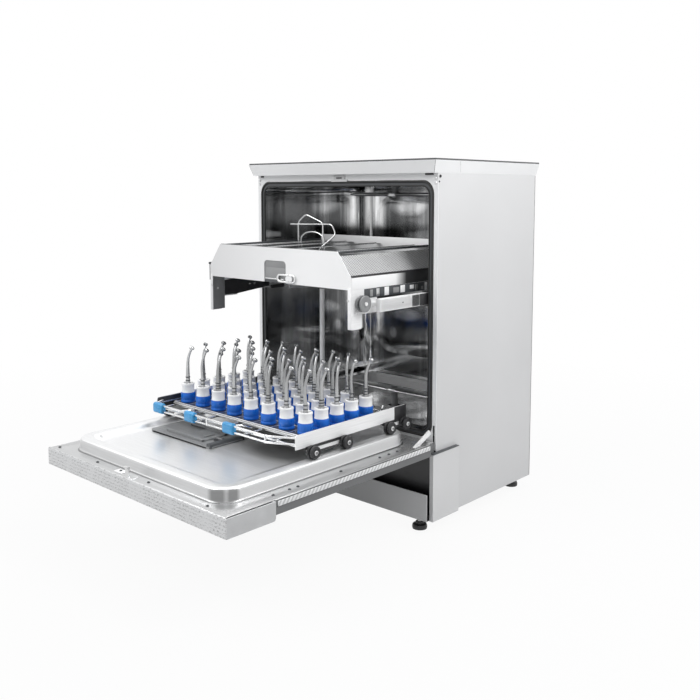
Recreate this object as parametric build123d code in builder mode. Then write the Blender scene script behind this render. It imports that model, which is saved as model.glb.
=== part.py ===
"""Free-standing dental instrument washer with its door open and both baskets pulled out.

Millimetres. Z is up, the door is on the -Y side, and the origin is on the floor, under the middle
of the machine's box with its door open.
"""

from build123d import *
import os
from math import cos, radians, sin

os.makedirs("parts", exist_ok=True)

# Cabinet
total_height = 850
lid_depth = 440
lid_height = 28.5
lid_cap_height = 3.5
lid_flare = 10
lid_front_flare = 8
body_width = 598
body_setback = 24
casing = 1
frame_sheet = 1.5
skirt_height = 30
base_height = 190
rear_margin = 2
port_reach = 22

# Door, lying open
door_reach = 594
door_top = 212
door_panel_depth = 28
door_panel_inset = 2
fascia_length = 118
fascia_depth = 38
fascia_wall = 3
strip_thickness = 2
liner_sheet = 1.5
liner_inset = 37
flange_inset = 6
liner_rise = 28
liner_rim = 34
liner_dish = 14
liner_corner = 45
rim_wall = 3
liner_far_margin = 32
liner_near_margin = 26
hinge_ahead = 9.5
hinge_below = 7.5
door_tail_gap = 6
wing_ahead_gap = 6
hinge_pin_radius = 5

# Chamber
tub_inset = 27
tub_drop = 5
tub_sheet = 1.2
tub_corner = 30
tub_foot_corner = 12
rear_gap = 12
hole_inset = 11
hole_drop = 15
hole_bottom = 215
gasket_width = 14
gasket_proud = 2.7
ledge_width = 50
trough_floor = 205
arm_tip_room = 92
arm_width = 42

# Baskets
basket_length = 350
basket_home_margin = 72
plate_sheet = 1.5
wire_radius = 2.5
lower_rest_ahead = 356
lower_side_room = 36
lower_plate_height = 30
lower_plate_lift = 23.5
wheel_radius = 13.5
wheel_axle_radius = 3
upper_rest_ahead = 192
upper_side_room = 37
upper_lean = 39
upper_bottom = 570
upper_shoulder = 597
upper_top = 650

# Load carrier
sleeve_columns = 8
sleeve_rows = 5
sleeve_row_inset = 24.5
sleeve_row_setback = 64
sleeve_pitch_y = 47
sleeve_base_radius = 17
sleeve_base_height = 24
sleeve_cap_radius = 15.5
sleeve_cap_height = 22
tray_side_room = 12
tray_thickness = 4

# Clearances
running = 0.05
gap = 0.3
loose = 1

# Planes of the cabinet that other sizes refer to
y_front = (door_reach - lid_depth - port_reach) / 2
y_body = y_front + body_setback
y_back = y_front + lid_depth
y_panel = y_back - rear_margin
z_lid = total_height - lid_height - lid_cap_height
half_body = body_width / 2
half_lid = half_body + lid_flare
y_tub = y_body + frame_sheet
y_tub_back = y_panel - rear_gap
y_door_end = y_front - door_reach
y_pivot = y_body - hinge_ahead
z_pivot = door_top - hinge_below
y_door_tail = y_body - door_tail_gap
z_door = door_top - door_panel_depth
z_fascia = door_top - fascia_depth
z_rim = door_top + liner_rise
y_rim_far = y_door_end + liner_far_margin
y_rim_near = y_front - liner_near_margin
y_home = y_front + basket_home_margin
y_rim_closed = y_pivot + z_rim - z_pivot
y_arm = (y_rim_closed + y_tub_back) / 2
ledge = z_rim - gap
hole_half_width = half_body - hole_inset
hole_top = z_lid - hole_drop
tub_half_width = half_body - tub_inset
tub_top = hole_top - tub_drop
trough_half_width = tub_half_width - ledge_width
arm_radius = tub_half_width - arm_tip_room
liner_half_width = half_body - liner_inset
lower_half_width = tub_half_width - lower_side_room
upper_half_width = tub_half_width - upper_side_room
upper_top_half_width = upper_half_width - upper_lean
tray_half_width = lower_half_width - tray_side_room
sleeve_pitch_x = 2 * (tray_half_width - sleeve_row_inset) / (sleeve_columns - 1)


def span(a0, a1, b0, b1, mode=Mode.ADD):
    """Rectangle between two pairs of limits in the current sketch."""
    with Locations(((a0 + a1) / 2, (b0 + b1) / 2)):
        Rectangle(abs(a1 - a0), abs(b1 - b0), mode=mode)


def rounded(a0, a1, b0, b1, radius, mode=Mode.ADD):
    """Rectangle with round corners between two pairs of limits in the current sketch."""
    with Locations(((a0 + a1) / 2, (b0 + b1) / 2)):
        RectangleRounded(abs(a1 - a0), abs(b1 - b0), radius, mode=mode)


def block(x0, x1, y0, y1, z0, z1, mode=Mode.ADD):
    """Square-edged block between three pairs of limits in the current part."""
    with Locations(((x0 + x1) / 2, (y0 + y1) / 2, (z0 + z1) / 2)):
        Box(abs(x1 - x0), abs(y1 - y0), abs(z1 - z0), mode=mode)


def rods(lines, radius, mode=Mode.ADD):
    """Straight round bars between pairs of points, added to the current part together."""
    bars = []
    for start, end in lines:
        run = Vector(*end) - Vector(*start)
        bars.append(Solid.make_cylinder(radius, run.length, Plane(origin=start, z_dir=run)))
    add(bars, mode=mode)


def facing(y):
    """Plane across the machine at depth y, drawn in X and Z, whose normal looks forward."""
    return Plane(origin=(0, y, 0), x_dir=(1, 0, 0), z_dir=(0, -1, 0))


def upright(x):
    """Plane along the machine at X, drawn in Y and Z, whose normal looks to the right."""
    return Plane.YZ.offset(x)


def level(z):
    """Horizontal plane at height z."""
    return Plane.XY.offset(z)


def chamber_section(growth):
    """Cross-section of the chamber, grown outwards, with wide top corners and tight bottom ones."""
    half = tub_half_width + growth
    span(-half, half, ledge - growth, tub_top + growth)
    fillet(vertices().group_by(Axis.Y)[-1], tub_corner + growth)
    fillet(vertices().group_by(Axis.Y)[0], tub_foot_corner + growth)


def keep(part, label):
    """Labels a finished piece and writes it to its own file."""
    part.label = label
    export_step(part, f"parts/{label}.step")


sides = (-1, 1)


# Lid, flared outwards to its top edge, under a thin dark cap sheet
with BuildPart() as lid:
    with BuildSketch(level(z_lid)):
        span(-half_lid + lid_flare, half_lid - lid_flare, y_front + lid_front_flare, y_back)
    with BuildSketch(level(z_lid + lid_height)):
        span(-half_lid, half_lid, y_front, y_back)
    loft()
keep(lid.part, "lid")

with BuildPart() as lid_cap:
    with BuildSketch(level(z_lid + lid_height)):
        rounded(-half_lid, half_lid, y_front, y_back, 3)
    extrude(amount=lid_cap_height)
keep(lid_cap.part, "lid_cap")


# Casing: two side panels with a return at the back, a rear panel and the frame round the opening
panel_return = 14
with BuildPart() as side_panels:
    for side in sides:
        with BuildSketch(level(skirt_height)):
            outer = side * half_body
            inner = side * (half_body - casing)
            turned = side * (half_body - panel_return)
            span(outer, inner, y_tub, y_panel - casing)
            span(outer, turned, y_panel - 2 * casing, y_panel - casing)
        extrude(amount=z_lid - skirt_height)
keep(side_panels.part, "side_panels")

port_height = 110
inlet_x = -150
drain_x = -70
gland_x = 245
inlet_radius = 13.2
drain_radius = 11
gland_radius = 10
with BuildPart() as rear_panel:
    with BuildSketch(facing(y_panel)):
        span(-half_body, half_body, skirt_height, z_lid)
        with Locations((inlet_x, port_height)):
            Circle(inlet_radius + gap, mode=Mode.SUBTRACT)
        with Locations((drain_x, port_height)):
            Circle(drain_radius + gap, mode=Mode.SUBTRACT)
        with Locations((gland_x, port_height)):
            Circle(gland_radius + gap, mode=Mode.SUBTRACT)
    extrude(amount=casing)
keep(rear_panel.part, "rear_panel")

bracket_x = tub_half_width - 2
bracket_sheet = 4
arm_sheet = 3.7
link_x = hole_half_width + 2.5
link_sheet = 4
link_rise = 26
latch_half_width = 16
latch_slot_low = hole_top + 3
latch_slot_high = z_lid - 3.5
with BuildPart() as front_frame:
    with BuildSketch(facing(y_tub)):
        span(-half_body, half_body, base_height, z_lid)
        rounded(-hole_half_width, hole_half_width, hole_bottom, hole_top, 32, mode=Mode.SUBTRACT)
        span(
            -latch_half_width, latch_half_width, latch_slot_low, latch_slot_high,
            mode=Mode.SUBTRACT,
        )
        for side in sides:
            near = side * (link_x - 0.5)
            far = side * (link_x + link_sheet + 0.5)
            span(near, far, z_pivot - 2, z_pivot + 42, mode=Mode.SUBTRACT)
            near = side * (bracket_x - gap)
            far = side * (bracket_x + bracket_sheet + gap)
            span(near, far, z_pivot - 10, z_pivot + 8, mode=Mode.SUBTRACT)
    extrude(amount=frame_sheet)
keep(front_frame.part, "front_frame")


# Chamber: a box of polished sheet, open to the front, with wheel ledges beside a sunken floor
trough_front = y_tub + 36
trough_back = y_tub_back - 14
filter_y = y_arm - 105
filter_hole = 50
hub_hole = 16
with BuildPart() as tub:
    with BuildSketch(facing(y_tub)):
        rounded(-hole_half_width - 1.5, hole_half_width + 1.5, hole_bottom - 1.5, hole_top + 1.5, 33)
    extrude(amount=-tub_sheet)
    with BuildSketch(facing(y_tub)):
        chamber_section(tub_sheet)
    extrude(amount=y_tub - y_tub_back - tub_sheet)
    with BuildSketch(level(trough_floor - tub_sheet)):
        rounded(
            -trough_half_width - tub_sheet, trough_half_width + tub_sheet,
            trough_front - tub_sheet, trough_back + tub_sheet, 25,
        )
    extrude(amount=ledge - trough_floor)
    with BuildSketch(facing(y_tub)):
        chamber_section(0)
    extrude(amount=y_tub - y_tub_back, mode=Mode.SUBTRACT)
    with BuildSketch(level(trough_floor)):
        rounded(-trough_half_width, trough_half_width, trough_front, trough_back, 24)
    extrude(amount=ledge - trough_floor + 1, mode=Mode.SUBTRACT)
    with BuildSketch(level(trough_floor - 2 * tub_sheet)):
        with Locations((0, filter_y)):
            Circle(filter_hole)
        with Locations((0, y_arm)):
            Circle(hub_hole)
    extrude(amount=4 * tub_sheet, mode=Mode.SUBTRACT)
    with BuildSketch(level(tub_top - tub_sheet)):
        with Locations((0, y_arm)):
            Circle(hub_hole)
    extrude(amount=4 * tub_sheet, mode=Mode.SUBTRACT)
keep(tub.part, "tub")

gasket_front = y_body - gasket_proud
with BuildPart() as door_gasket:
    with BuildSketch(facing(gasket_front)):
        rounded(
            -hole_half_width + 0.5, hole_half_width - 0.5, hole_bottom + 0.5, hole_top - 0.5, 31.5,
        )
        rounded(
            -hole_half_width + gasket_width, hole_half_width - gasket_width,
            hole_bottom + gasket_width, hole_top - gasket_width, 20, mode=Mode.SUBTRACT,
        )
    extrude(amount=gasket_front - y_tub)
keep(door_gasket.part, "door_gasket")


# Base: a pan on four levelling feet, with the dark board behind the toe recess
pan_sheet = 2
kick_ahead = 7
kick_height = 62
kick_sheet = 2
wing_depth = 102
wing_top = base_height - 3
y_wing = y_front + 2
toe_board_sheet = 2
pan_front = y_front - kick_ahead + kick_sheet
with BuildPart() as base_pan:
    block(-half_body + 2, half_body - 2, pan_front, y_body, skirt_height, skirt_height + pan_sheet)
    block(
        -half_body + casing + gap, half_body - casing - gap, y_body, y_panel - 2 * casing - gap,
        skirt_height, skirt_height + pan_sheet,
    )
    block(
        -half_body + casing + gap, half_body - casing - gap, y_body, y_body + toe_board_sheet,
        skirt_height, base_height - gap,
    )
    block(
        -half_body + 2, half_body - 2, pan_front, pan_front + pan_sheet,
        skirt_height, skirt_height + kick_height,
    )
keep(base_pan.part, "base_pan")

with BuildPart() as kick_plate:
    with BuildSketch(facing(pan_front)):
        span(-half_body + 1, half_body - 1, skirt_height, skirt_height + kick_height)
    extrude(amount=kick_sheet)
keep(kick_plate.part, "kick_plate")

with BuildPart() as side_wings:
    for side in sides:
        with BuildSketch(upright(side * half_body)):
            with BuildLine():
                Polyline(
                    (y_wing, skirt_height), (y_front + wing_depth, skirt_height),
                    (y_front + wing_depth, wing_top), (y_wing, wing_top), (y_wing, skirt_height),
                )
            make_face()
            fillet(vertices().group_by(Axis.Y)[-1].sort_by(Axis.X)[0], 6)
        extrude(amount=side * (half_lid - half_body))
keep(side_wings.part, "side_wings")

foot_radius = 17.5
foot_pad = 12
foot_stem = 5
foot_inset = 48
foot_x = half_lid - foot_inset
foot_front_y = y_front + 16
foot_back_y = y_back - 32
with BuildPart() as feet:
    with BuildSketch(level(0)):
        with Locations(
            (-foot_x, foot_front_y), (foot_x, foot_front_y), (-foot_x, foot_back_y), (foot_x, foot_back_y)
        ):
            Circle(foot_radius)
    extrude(amount=foot_pad)
    fillet(faces().sort_by(Axis.Z)[-1].edges(), 3)
    with BuildSketch(level(foot_pad)):
        with Locations(
            (-foot_x, foot_front_y), (foot_x, foot_front_y), (-foot_x, foot_back_y), (foot_x, foot_back_y)
        ):
            Circle(foot_stem)
    extrude(amount=skirt_height - foot_pad)
keep(feet.part, "feet")


# Door lock in the top of the frame, with a bolt that slides across behind the hook
lock_depth = 34
lock_half_width = 26
lock_wall = 2
hook_half_width = 6
bolt_height = 2.5
z_lock = hole_top + 2
with BuildPart() as lock_housing:
    block(-lock_half_width, lock_half_width, y_tub + tub_sheet, y_tub + lock_depth, z_lock, z_lid - gap)
    block(
        -lock_half_width + lock_wall, lock_half_width - lock_wall, y_tub, y_tub + lock_depth - lock_wall,
        z_lock + lock_wall, z_lid - gap - lock_wall, mode=Mode.SUBTRACT,
    )
keep(lock_housing.part, "lock_housing")

bolt_front = y_tub + 12
bolt_bottom = latch_slot_low + 5.3
with BuildPart() as lock_bolt:
    block(
        -lock_half_width + lock_wall + gap, -hook_half_width - gap, bolt_front, bolt_front + 4,
        bolt_bottom, bolt_bottom + bolt_height,
    )
keep(lock_bolt.part, "lock_bolt")


# Guides on the chamber's walls, in which the upper basket's rails run
rail_height = 27
rail_bottom = 522.5
rail_web = 2
rail_depth = 13
rail_outer = tub_half_width - loose
rail_end_gap = 6
rail_rest_ahead = 138
rail_home_front = y_home - 3
rail_length = y_tub_back - rail_end_gap - rail_home_front
rail_rest_front = y_front - rail_rest_ahead
guide_wall = 3
guide_front = y_tub + 1
guide_length = 49
guide_pitch = 118
guide_inner = rail_outer - rail_depth - guide_wall
with BuildPart() as rail_guides:
    for side in sides:
        for start in (guide_front, guide_front + guide_pitch):
            with BuildSketch(facing(start)):
                near = side * guide_inner
                far = side * tub_half_width
                bore = side * (rail_outer - rail_depth - gap)
                low = rail_bottom - gap
                high = rail_bottom + rail_height + gap
                span(near, far, low - guide_wall, high + guide_wall)
                span(bore, far, low, high, mode=Mode.SUBTRACT)
                slit_low = rail_bottom + 6
                slit_high = rail_bottom + rail_height - 6
                span(near, bore, slit_low, slit_high, mode=Mode.SUBTRACT)
            extrude(amount=-guide_length)
keep(rail_guides.part, "rail_guides")


# Wet parts under the chamber
sump_half_width = 88
sump_front = filter_y - 62
sump_back = y_arm + 40
sump_floor = 122
sump_wall = 3
sump_top = trough_floor - tub_sheet
hub_radius = 9
hub_height = z_rim - trough_floor + 14
filter_floor = sump_floor + sump_wall + 6
with BuildPart() as sump:
    with BuildSketch(level(sump_floor)):
        rounded(-sump_half_width, sump_half_width, sump_front, sump_back, 20)
    extrude(amount=sump_top - sump_floor)
    with BuildSketch(level(sump_floor + sump_wall)):
        rounded(
            -sump_half_width + sump_wall, sump_half_width - sump_wall,
            sump_front + sump_wall, sump_back - sump_wall, 17,
        )
    extrude(amount=sump_top - sump_floor, mode=Mode.SUBTRACT)
    with BuildSketch(level(sump_floor)):
        with Locations((0, y_arm)):
            Circle(hub_radius)
    extrude(amount=trough_floor + hub_height - sump_floor)
keep(sump.part, "sump")

with BuildPart() as filter_cup:
    with BuildSketch(level(trough_floor)):
        with Locations((0, filter_y)):
            Circle(filter_hole + 8)
    extrude(amount=2.5)
    with BuildSketch(level(filter_floor)):
        with Locations((0, filter_y)):
            Circle(filter_hole - 3)
            Circle(filter_hole - 6, mode=Mode.SUBTRACT)
    extrude(amount=trough_floor - filter_floor)
    block(-20, 20, filter_y - 3, filter_y + 3, trough_floor + 2.5, trough_floor + 20)
keep(filter_cup.part, "filter_cup")

pump_radius = 48
pump_x = 165
pump_y = y_arm - 20
pump_z = 92
with BuildPart() as circulation_pump:
    with BuildSketch(facing(pump_y - 70)):
        with Locations((pump_x, pump_z)):
            Circle(pump_radius)
    extrude(amount=-60)
    with BuildSketch(facing(pump_y - 10)):
        with Locations((pump_x, pump_z)):
            Circle(34)
    extrude(amount=-90)
    block(pump_x - 30, pump_x + 30, pump_y - 60, pump_y + 70, skirt_height + pan_sheet, pump_z - 20)
    with BuildSketch(upright(sump_half_width)):
        with Locations((pump_y - 40, sump_floor + 26)):
            Circle(12)
    extrude(amount=pump_x - sump_half_width)
    with BuildSketch(level(pump_z)):
        with Locations((pump_x, pump_y - 40)):
            Circle(12)
    extrude(amount=sump_floor + 26 + 12 - pump_z)
keep(circulation_pump.part, "circulation_pump")

drain_pump_x = -150
drain_pump_y = y_arm + 10
with BuildPart() as drain_pump:
    with BuildSketch(upright(-sump_half_width)):
        with Locations((drain_pump_y, sump_floor + 20)):
            Circle(10)
    extrude(amount=-(sump_half_width * -1 - drain_pump_x) - 10)
    with BuildSketch(level(skirt_height + pan_sheet)):
        with Locations((drain_pump_x - 10, drain_pump_y)):
            Circle(32)
    extrude(amount=sump_floor + 34 - skirt_height - pan_sheet)
    with BuildSketch(facing(drain_pump_y + 25)):
        with Locations((drain_pump_x, port_height)):
            Circle(10)
    extrude(amount=-30)
keep(drain_pump.part, "drain_pump")

duct_half_width = 30
duct_depth = 8
duct_y = y_tub_back + tub_sheet + gap
duct_bottom = 112
duct_top = tub_top + tub_sheet + gap
with BuildPart() as riser_duct:
    block(
        pump_x - duct_half_width, pump_x + duct_half_width, duct_y, duct_y + duct_depth,
        duct_bottom, duct_top + duct_depth,
    )
    block(
        -duct_half_width, pump_x + duct_half_width, y_arm - 20, duct_y + duct_depth,
        duct_top, duct_top + duct_depth,
    )
    block(
        duct_half_width, pump_x - duct_half_width, y_arm + 2 * duct_half_width, duct_y - 70,
        duct_top - 1, duct_top + duct_depth + 1, mode=Mode.SUBTRACT,
    )
    with BuildSketch(level(duct_top)):
        with Locations((0, y_arm)):
            Circle(hub_radius)
    extrude(amount=-38)
keep(riser_duct.part, "riser_duct")

heater_radius = 26
heater_start = 80
heater_length = 96
heater_foot_start = 110
heater_foot_length = 40
with BuildPart() as heater:
    with BuildSketch(facing(pump_y + heater_start)):
        with Locations((pump_x, pump_z)):
            Circle(heater_radius)
    extrude(amount=-heater_length)
    block(
        pump_x - 18, pump_x + 18, pump_y + heater_foot_start,
        pump_y + heater_foot_start + heater_foot_length, skirt_height + pan_sheet, pump_z,
    )
    with BuildSketch(level(pump_z)):
        with Locations((pump_x, duct_y - 14)):
            Circle(10)
    extrude(amount=50)
    with BuildSketch(facing(pump_y + heater_start + heater_length)):
        with Locations((pump_x, pump_z)):
            Circle(10)
    extrude(amount=-(duct_y - 4 - pump_y - heater_start - heater_length))
    with BuildSketch(facing(duct_y - 14)):
        with Locations((pump_x, pump_z + 40)):
            Circle(10)
    extrude(amount=-14)
keep(heater.part, "heater")

with BuildPart() as softener:
    block(
        -half_body + 12, -half_body + 92, y_body + 60, y_panel - 90,
        skirt_height + pan_sheet, base_height - 8,
    )
    fillet(edges().filter_by(Axis.Z), 16)
    with BuildSketch(level(base_height - 8)):
        with Locations((-half_body + 52, y_body + 130)):
            Circle(28)
    extrude(amount=10)
    with BuildSketch(facing(y_panel - 90)):
        with Locations((-half_body + 60, port_height)):
            Circle(9)
    extrude(amount=-20)
keep(softener.part, "softener")

collar = 3
with BuildPart() as water_inlet:
    with BuildSketch(facing(y_panel)):
        with Locations((inlet_x, port_height)):
            Circle(inlet_radius)
            Circle(9, mode=Mode.SUBTRACT)
    extrude(amount=-port_reach - rear_margin)
    with BuildSketch(facing(y_panel)):
        with Locations((inlet_x, port_height)):
            Circle(inlet_radius + 5)
            Circle(9, mode=Mode.SUBTRACT)
    extrude(amount=-collar)
    with BuildSketch(facing(y_panel - casing)):
        with Locations((inlet_x, port_height)):
            Circle(inlet_radius)
    extrude(amount=-casing)
    with BuildSketch(facing(y_panel - casing)):
        with Locations((inlet_x, port_height)):
            Circle(20)
    extrude(amount=24)
    block(
        inlet_x - 74, inlet_x, y_panel - 25, y_panel - 9, port_height - 9, port_height + 9,
    )
keep(water_inlet.part, "water_inlet")

with BuildPart() as drain_spigot:
    with BuildSketch(facing(y_panel)):
        with Locations((drain_x, port_height)):
            Circle(drain_radius)
            Circle(8, mode=Mode.SUBTRACT)
    extrude(amount=-port_reach - rear_margin)
    with BuildSketch(facing(y_panel)):
        with Locations((drain_x, port_height)):
            Circle(drain_radius + 5)
            Circle(8, mode=Mode.SUBTRACT)
    extrude(amount=-collar)
    with BuildSketch(facing(y_panel)):
        with Locations((drain_x, port_height)):
            Circle(drain_radius)
    extrude(amount=casing)
    with BuildSketch(facing(y_panel - casing)):
        with Locations((drain_x, port_height)):
            Circle(17)
    extrude(amount=20)
keep(drain_spigot.part, "drain_spigot")

gland_reach = 16
with BuildPart() as cable_gland:
    with BuildSketch(facing(y_panel)):
        with Locations((gland_x, port_height)):
            Circle(gland_radius)
            Circle(4.5, mode=Mode.SUBTRACT)
    extrude(amount=-gland_reach)
    with BuildSketch(facing(y_panel - casing)):
        with Locations((gland_x, port_height)):
            Circle(gland_radius + 5)
            Circle(4.5, mode=Mode.SUBTRACT)
    extrude(amount=8)
    with BuildSketch(facing(y_panel)):
        with Locations((gland_x, port_height)):
            Circle(gland_radius)
            Circle(4.5, mode=Mode.SUBTRACT)
    extrude(amount=casing)
keep(cable_gland.part, "cable_gland")

with BuildPart() as hinge_brackets:
    for side in sides:
        with BuildSketch(upright(side * bracket_x)):
            span(y_body + toe_board_sheet + loose, y_body + 60, skirt_height + pan_sheet, z_pivot + 7)
            span(y_pivot, y_body + 20, z_pivot - 9, z_pivot + 7)
            with Locations((y_pivot, z_pivot - 1)):
                Circle(8)
            with Locations((y_pivot, z_pivot)):
                Circle(hinge_pin_radius + running, mode=Mode.SUBTRACT)
        extrude(amount=side * bracket_sheet)
keep(hinge_brackets.part, "hinge_brackets")


# Spray arms in the chamber: a flat tapered bar on a round hub
def spray_arm(z, thickness, length, hub_bore, centre_y):
    """Flat arm with rounded ends, a hub and a row of nozzle holes, in the current part."""
    with Locations((0, centre_y, z + thickness / 2)):
        Cylinder(24, thickness)
        Box(2 * length - arm_width, arm_width, thickness)
    for tip in (-length + arm_width / 2, length - arm_width / 2):
        with Locations((tip, centre_y, z + thickness / 2)):
            Cylinder(arm_width / 2, thickness)
    with Locations((0, centre_y, z + thickness / 2)):
        Cylinder(hub_bore, 2 * thickness, mode=Mode.SUBTRACT)
    holes = []
    for place in (-0.86, -0.6, -0.34, 0.34, 0.6, 0.86):
        holes.append((place * length, centre_y + 6, z + thickness / 2))
    with Locations(*holes):
        Cylinder(2.5, 2 * thickness, mode=Mode.SUBTRACT)


arm_thickness = 11
lower_arm_z = z_rim + 2.5
with BuildPart() as lower_spray_arm:
    spray_arm(lower_arm_z, arm_thickness, arm_radius, hub_radius + gap, y_arm)
keep(lower_spray_arm.part, "lower_spray_arm")

ceiling_arm_z = duct_top - 36
with BuildPart() as ceiling_spray_arm:
    spray_arm(ceiling_arm_z, arm_thickness, arm_radius - 20, hub_radius + gap, y_arm)
keep(ceiling_spray_arm.part, "ceiling_spray_arm")


# Door: outer panel, fascia with the controls, bare strip along its free edge and pressed liner
panel_half_width = half_lid - door_panel_inset
y_fascia = y_door_end + strip_thickness
y_door_panel = y_door_end + fascia_length + loose
z_liner = door_top - liner_sheet
panel_wall = 1.2
arm_x = bracket_x + bracket_sheet + gap + 0.5
with BuildPart() as door_panel:
    block(-panel_half_width, panel_half_width, y_door_panel, y_door_tail, z_door, z_liner)
    block(
        -panel_half_width + panel_wall, panel_half_width - panel_wall,
        y_door_panel + panel_wall, y_door_tail - panel_wall, z_door + panel_wall, z_liner + 1,
        mode=Mode.SUBTRACT,
    )
    for side in sides:
        block(
            side * (bracket_x - 2), side * (arm_x + arm_sheet + gap), y_pivot - 16, y_door_tail + 1,
            z_door + panel_wall + gap, z_liner + 1, mode=Mode.SUBTRACT,
        )
    for side in sides:
        block(
            side * (half_body - loose), side * half_lid, y_wing - wing_ahead_gap, y_door_tail + 1,
            z_door - 1, z_liner + 1, mode=Mode.SUBTRACT,
        )
        notch_side = side * (half_body - loose - panel_wall)
        block(
            notch_side, side * (half_body - loose), y_wing - wing_ahead_gap - panel_wall,
            y_door_tail, z_door, z_liner,
        )
        block(
            notch_side, side * panel_half_width, y_wing - wing_ahead_gap - panel_wall,
            y_wing - wing_ahead_gap, z_door, z_liner,
        )
keep(door_panel.part, "door_panel")

button_radius = 9
button_travel = 1.5
button_proud = 1.5
button_y = y_door_end + 62
button_inset = 64
start_x = half_body - button_inset
power_x = -start_x
display_half_width = 60
display_half_depth = 20
with BuildPart() as fascia:
    block(-half_lid, half_lid, y_fascia, y_door_end + fascia_length, z_fascia, z_liner)
    fillet(edges().filter_by(Axis.X).group_by(Axis.Z)[0].sort_by(Axis.Y)[-1], 6)
    block(
        -half_lid + fascia_wall, half_lid - fascia_wall,
        y_fascia + fascia_wall, y_door_end + fascia_length - fascia_wall,
        z_fascia + fascia_wall, z_liner + 1, mode=Mode.SUBTRACT,
    )
    with BuildSketch(level(z_fascia)):
        with Locations((power_x, button_y), (start_x, button_y)):
            Circle(button_radius + gap)
        with Locations((0, button_y)):
            Rectangle(2 * (display_half_width + gap), 2 * (display_half_depth + gap))
    extrude(amount=fascia_wall, mode=Mode.SUBTRACT)
    with BuildSketch(level(z_fascia + fascia_wall)):
        with Locations((power_x, button_y), (start_x, button_y)):
            Circle(button_radius + 5)
            Circle(button_radius + gap, mode=Mode.SUBTRACT)
    extrude(amount=8)
keep(fascia.part, "fascia")

with BuildPart() as control_strip:
    with BuildSketch(facing(y_fascia)):
        rounded(-half_lid, half_lid, z_fascia, door_top, 3)
    extrude(amount=strip_thickness)
keep(control_strip.part, "control_strip")

with BuildPart() as display_window:
    with BuildSketch(level(z_fascia + 0.5)):
        with Locations((0, button_y)):
            Rectangle(2 * display_half_width, 2 * display_half_depth)
    extrude(amount=fascia_wall - 0.5)
    with BuildSketch(level(z_fascia + fascia_wall)):
        with Locations((0, button_y)):
            Rectangle(2 * display_half_width + 12, 2 * display_half_depth + 12)
    extrude(amount=2)
keep(display_window.part, "display_window")

for button_x, name in ((power_x, "power_button"), (start_x, "start_button")):
    with BuildPart() as button:
        with BuildSketch(level(z_fascia - button_proud)):
            with Locations((button_x, button_y)):
                Circle(button_radius)
        extrude(amount=16)
        chamfer(faces().sort_by(Axis.Z)[0].edges(), 0.8)
    keep(button.part, name)

board_sheet = 1.6
board_half_width = half_body - 37
z_board = z_fascia + 20
with BuildPart() as control_board:
    block(
        -board_half_width, board_half_width, button_y - 30, button_y + 30, z_board, z_board + board_sheet,
    )
    for board_x in (-200, -90, 90, 200):
        block(board_x - 12, board_x + 12, button_y + 8, button_y + 24, z_board - 9, z_board)
    for board_x in (7 - board_half_width, -150, 150, board_half_width - 7):
        with BuildSketch(level(z_fascia + fascia_wall)):
            with Locations((board_x, button_y - 24)):
                Circle(3.5)
        extrude(amount=z_board - z_fascia - fascia_wall)
keep(control_board.part, "control_board")

flange_half_width = half_lid - flange_inset
flange_far = y_fascia
flange_near = y_door_tail - 1.5
dispenser_half_width = 104
dispenser_front = y_front - 388
dispenser_length = 88
dispenser_x = -100
cover_travel = 60
z_dish = z_rim - liner_dish
with BuildPart() as door_liner:
    with BuildSketch(level(z_liner)):
        span(-flange_half_width, flange_half_width, flange_far, flange_near)
    extrude(amount=liner_sheet)
    with BuildSketch(level(z_liner)):
        rounded(-liner_half_width, liner_half_width, y_rim_far, y_rim_near, liner_corner)
    extrude(amount=liner_rise + liner_sheet)
    fillet(faces().sort_by(Axis.Z)[-1].edges(), 7)
    with BuildSketch(level(z_liner)):
        rounded(
            -liner_half_width + rim_wall, liner_half_width - rim_wall,
            y_rim_far + rim_wall, y_rim_near - rim_wall, liner_corner - rim_wall,
        )
    extrude(amount=z_rim - rim_wall - z_liner, mode=Mode.SUBTRACT)
    with BuildSketch(level(z_dish - rim_wall)):
        rounded(
            -liner_half_width + rim_wall, liner_half_width - rim_wall,
            y_rim_far + rim_wall, y_rim_near - rim_wall, liner_corner - rim_wall,
        )
    extrude(amount=rim_wall)
    with BuildSketch(level(z_dish)):
        rounded(
            -liner_half_width + liner_rim - rim_wall, liner_half_width - liner_rim + rim_wall,
            y_rim_far + liner_rim - rim_wall, y_rim_near - liner_rim + rim_wall, liner_corner - 9,
        )
    extrude(amount=liner_dish - rim_wall)
    with BuildSketch(level(z_rim)):
        rounded(
            -liner_half_width + liner_rim, liner_half_width - liner_rim,
            y_rim_far + liner_rim, y_rim_near - liner_rim, liner_corner - 12,
        )
    extrude(amount=-liner_dish, mode=Mode.SUBTRACT)
    with BuildSketch(level(z_liner)):
        with Locations((dispenser_x, dispenser_front + dispenser_length / 2)):
            Rectangle(2 * dispenser_half_width, dispenser_length)
    extrude(amount=liner_rise, mode=Mode.SUBTRACT)
    for side in sides:
        block(
            side * (bracket_x - 2), side * (bracket_x + bracket_sheet + 0.5),
            y_pivot - 16, y_door_tail + 1, z_liner - 1, door_top + 1, mode=Mode.SUBTRACT,
        )
    for side in sides:
        block(
            side * (half_body - loose), side * half_lid, y_wing - wing_ahead_gap, y_door_tail + 1,
            z_liner - 1, door_top + 1, mode=Mode.SUBTRACT,
        )
keep(door_liner.part, "door_liner")

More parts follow.
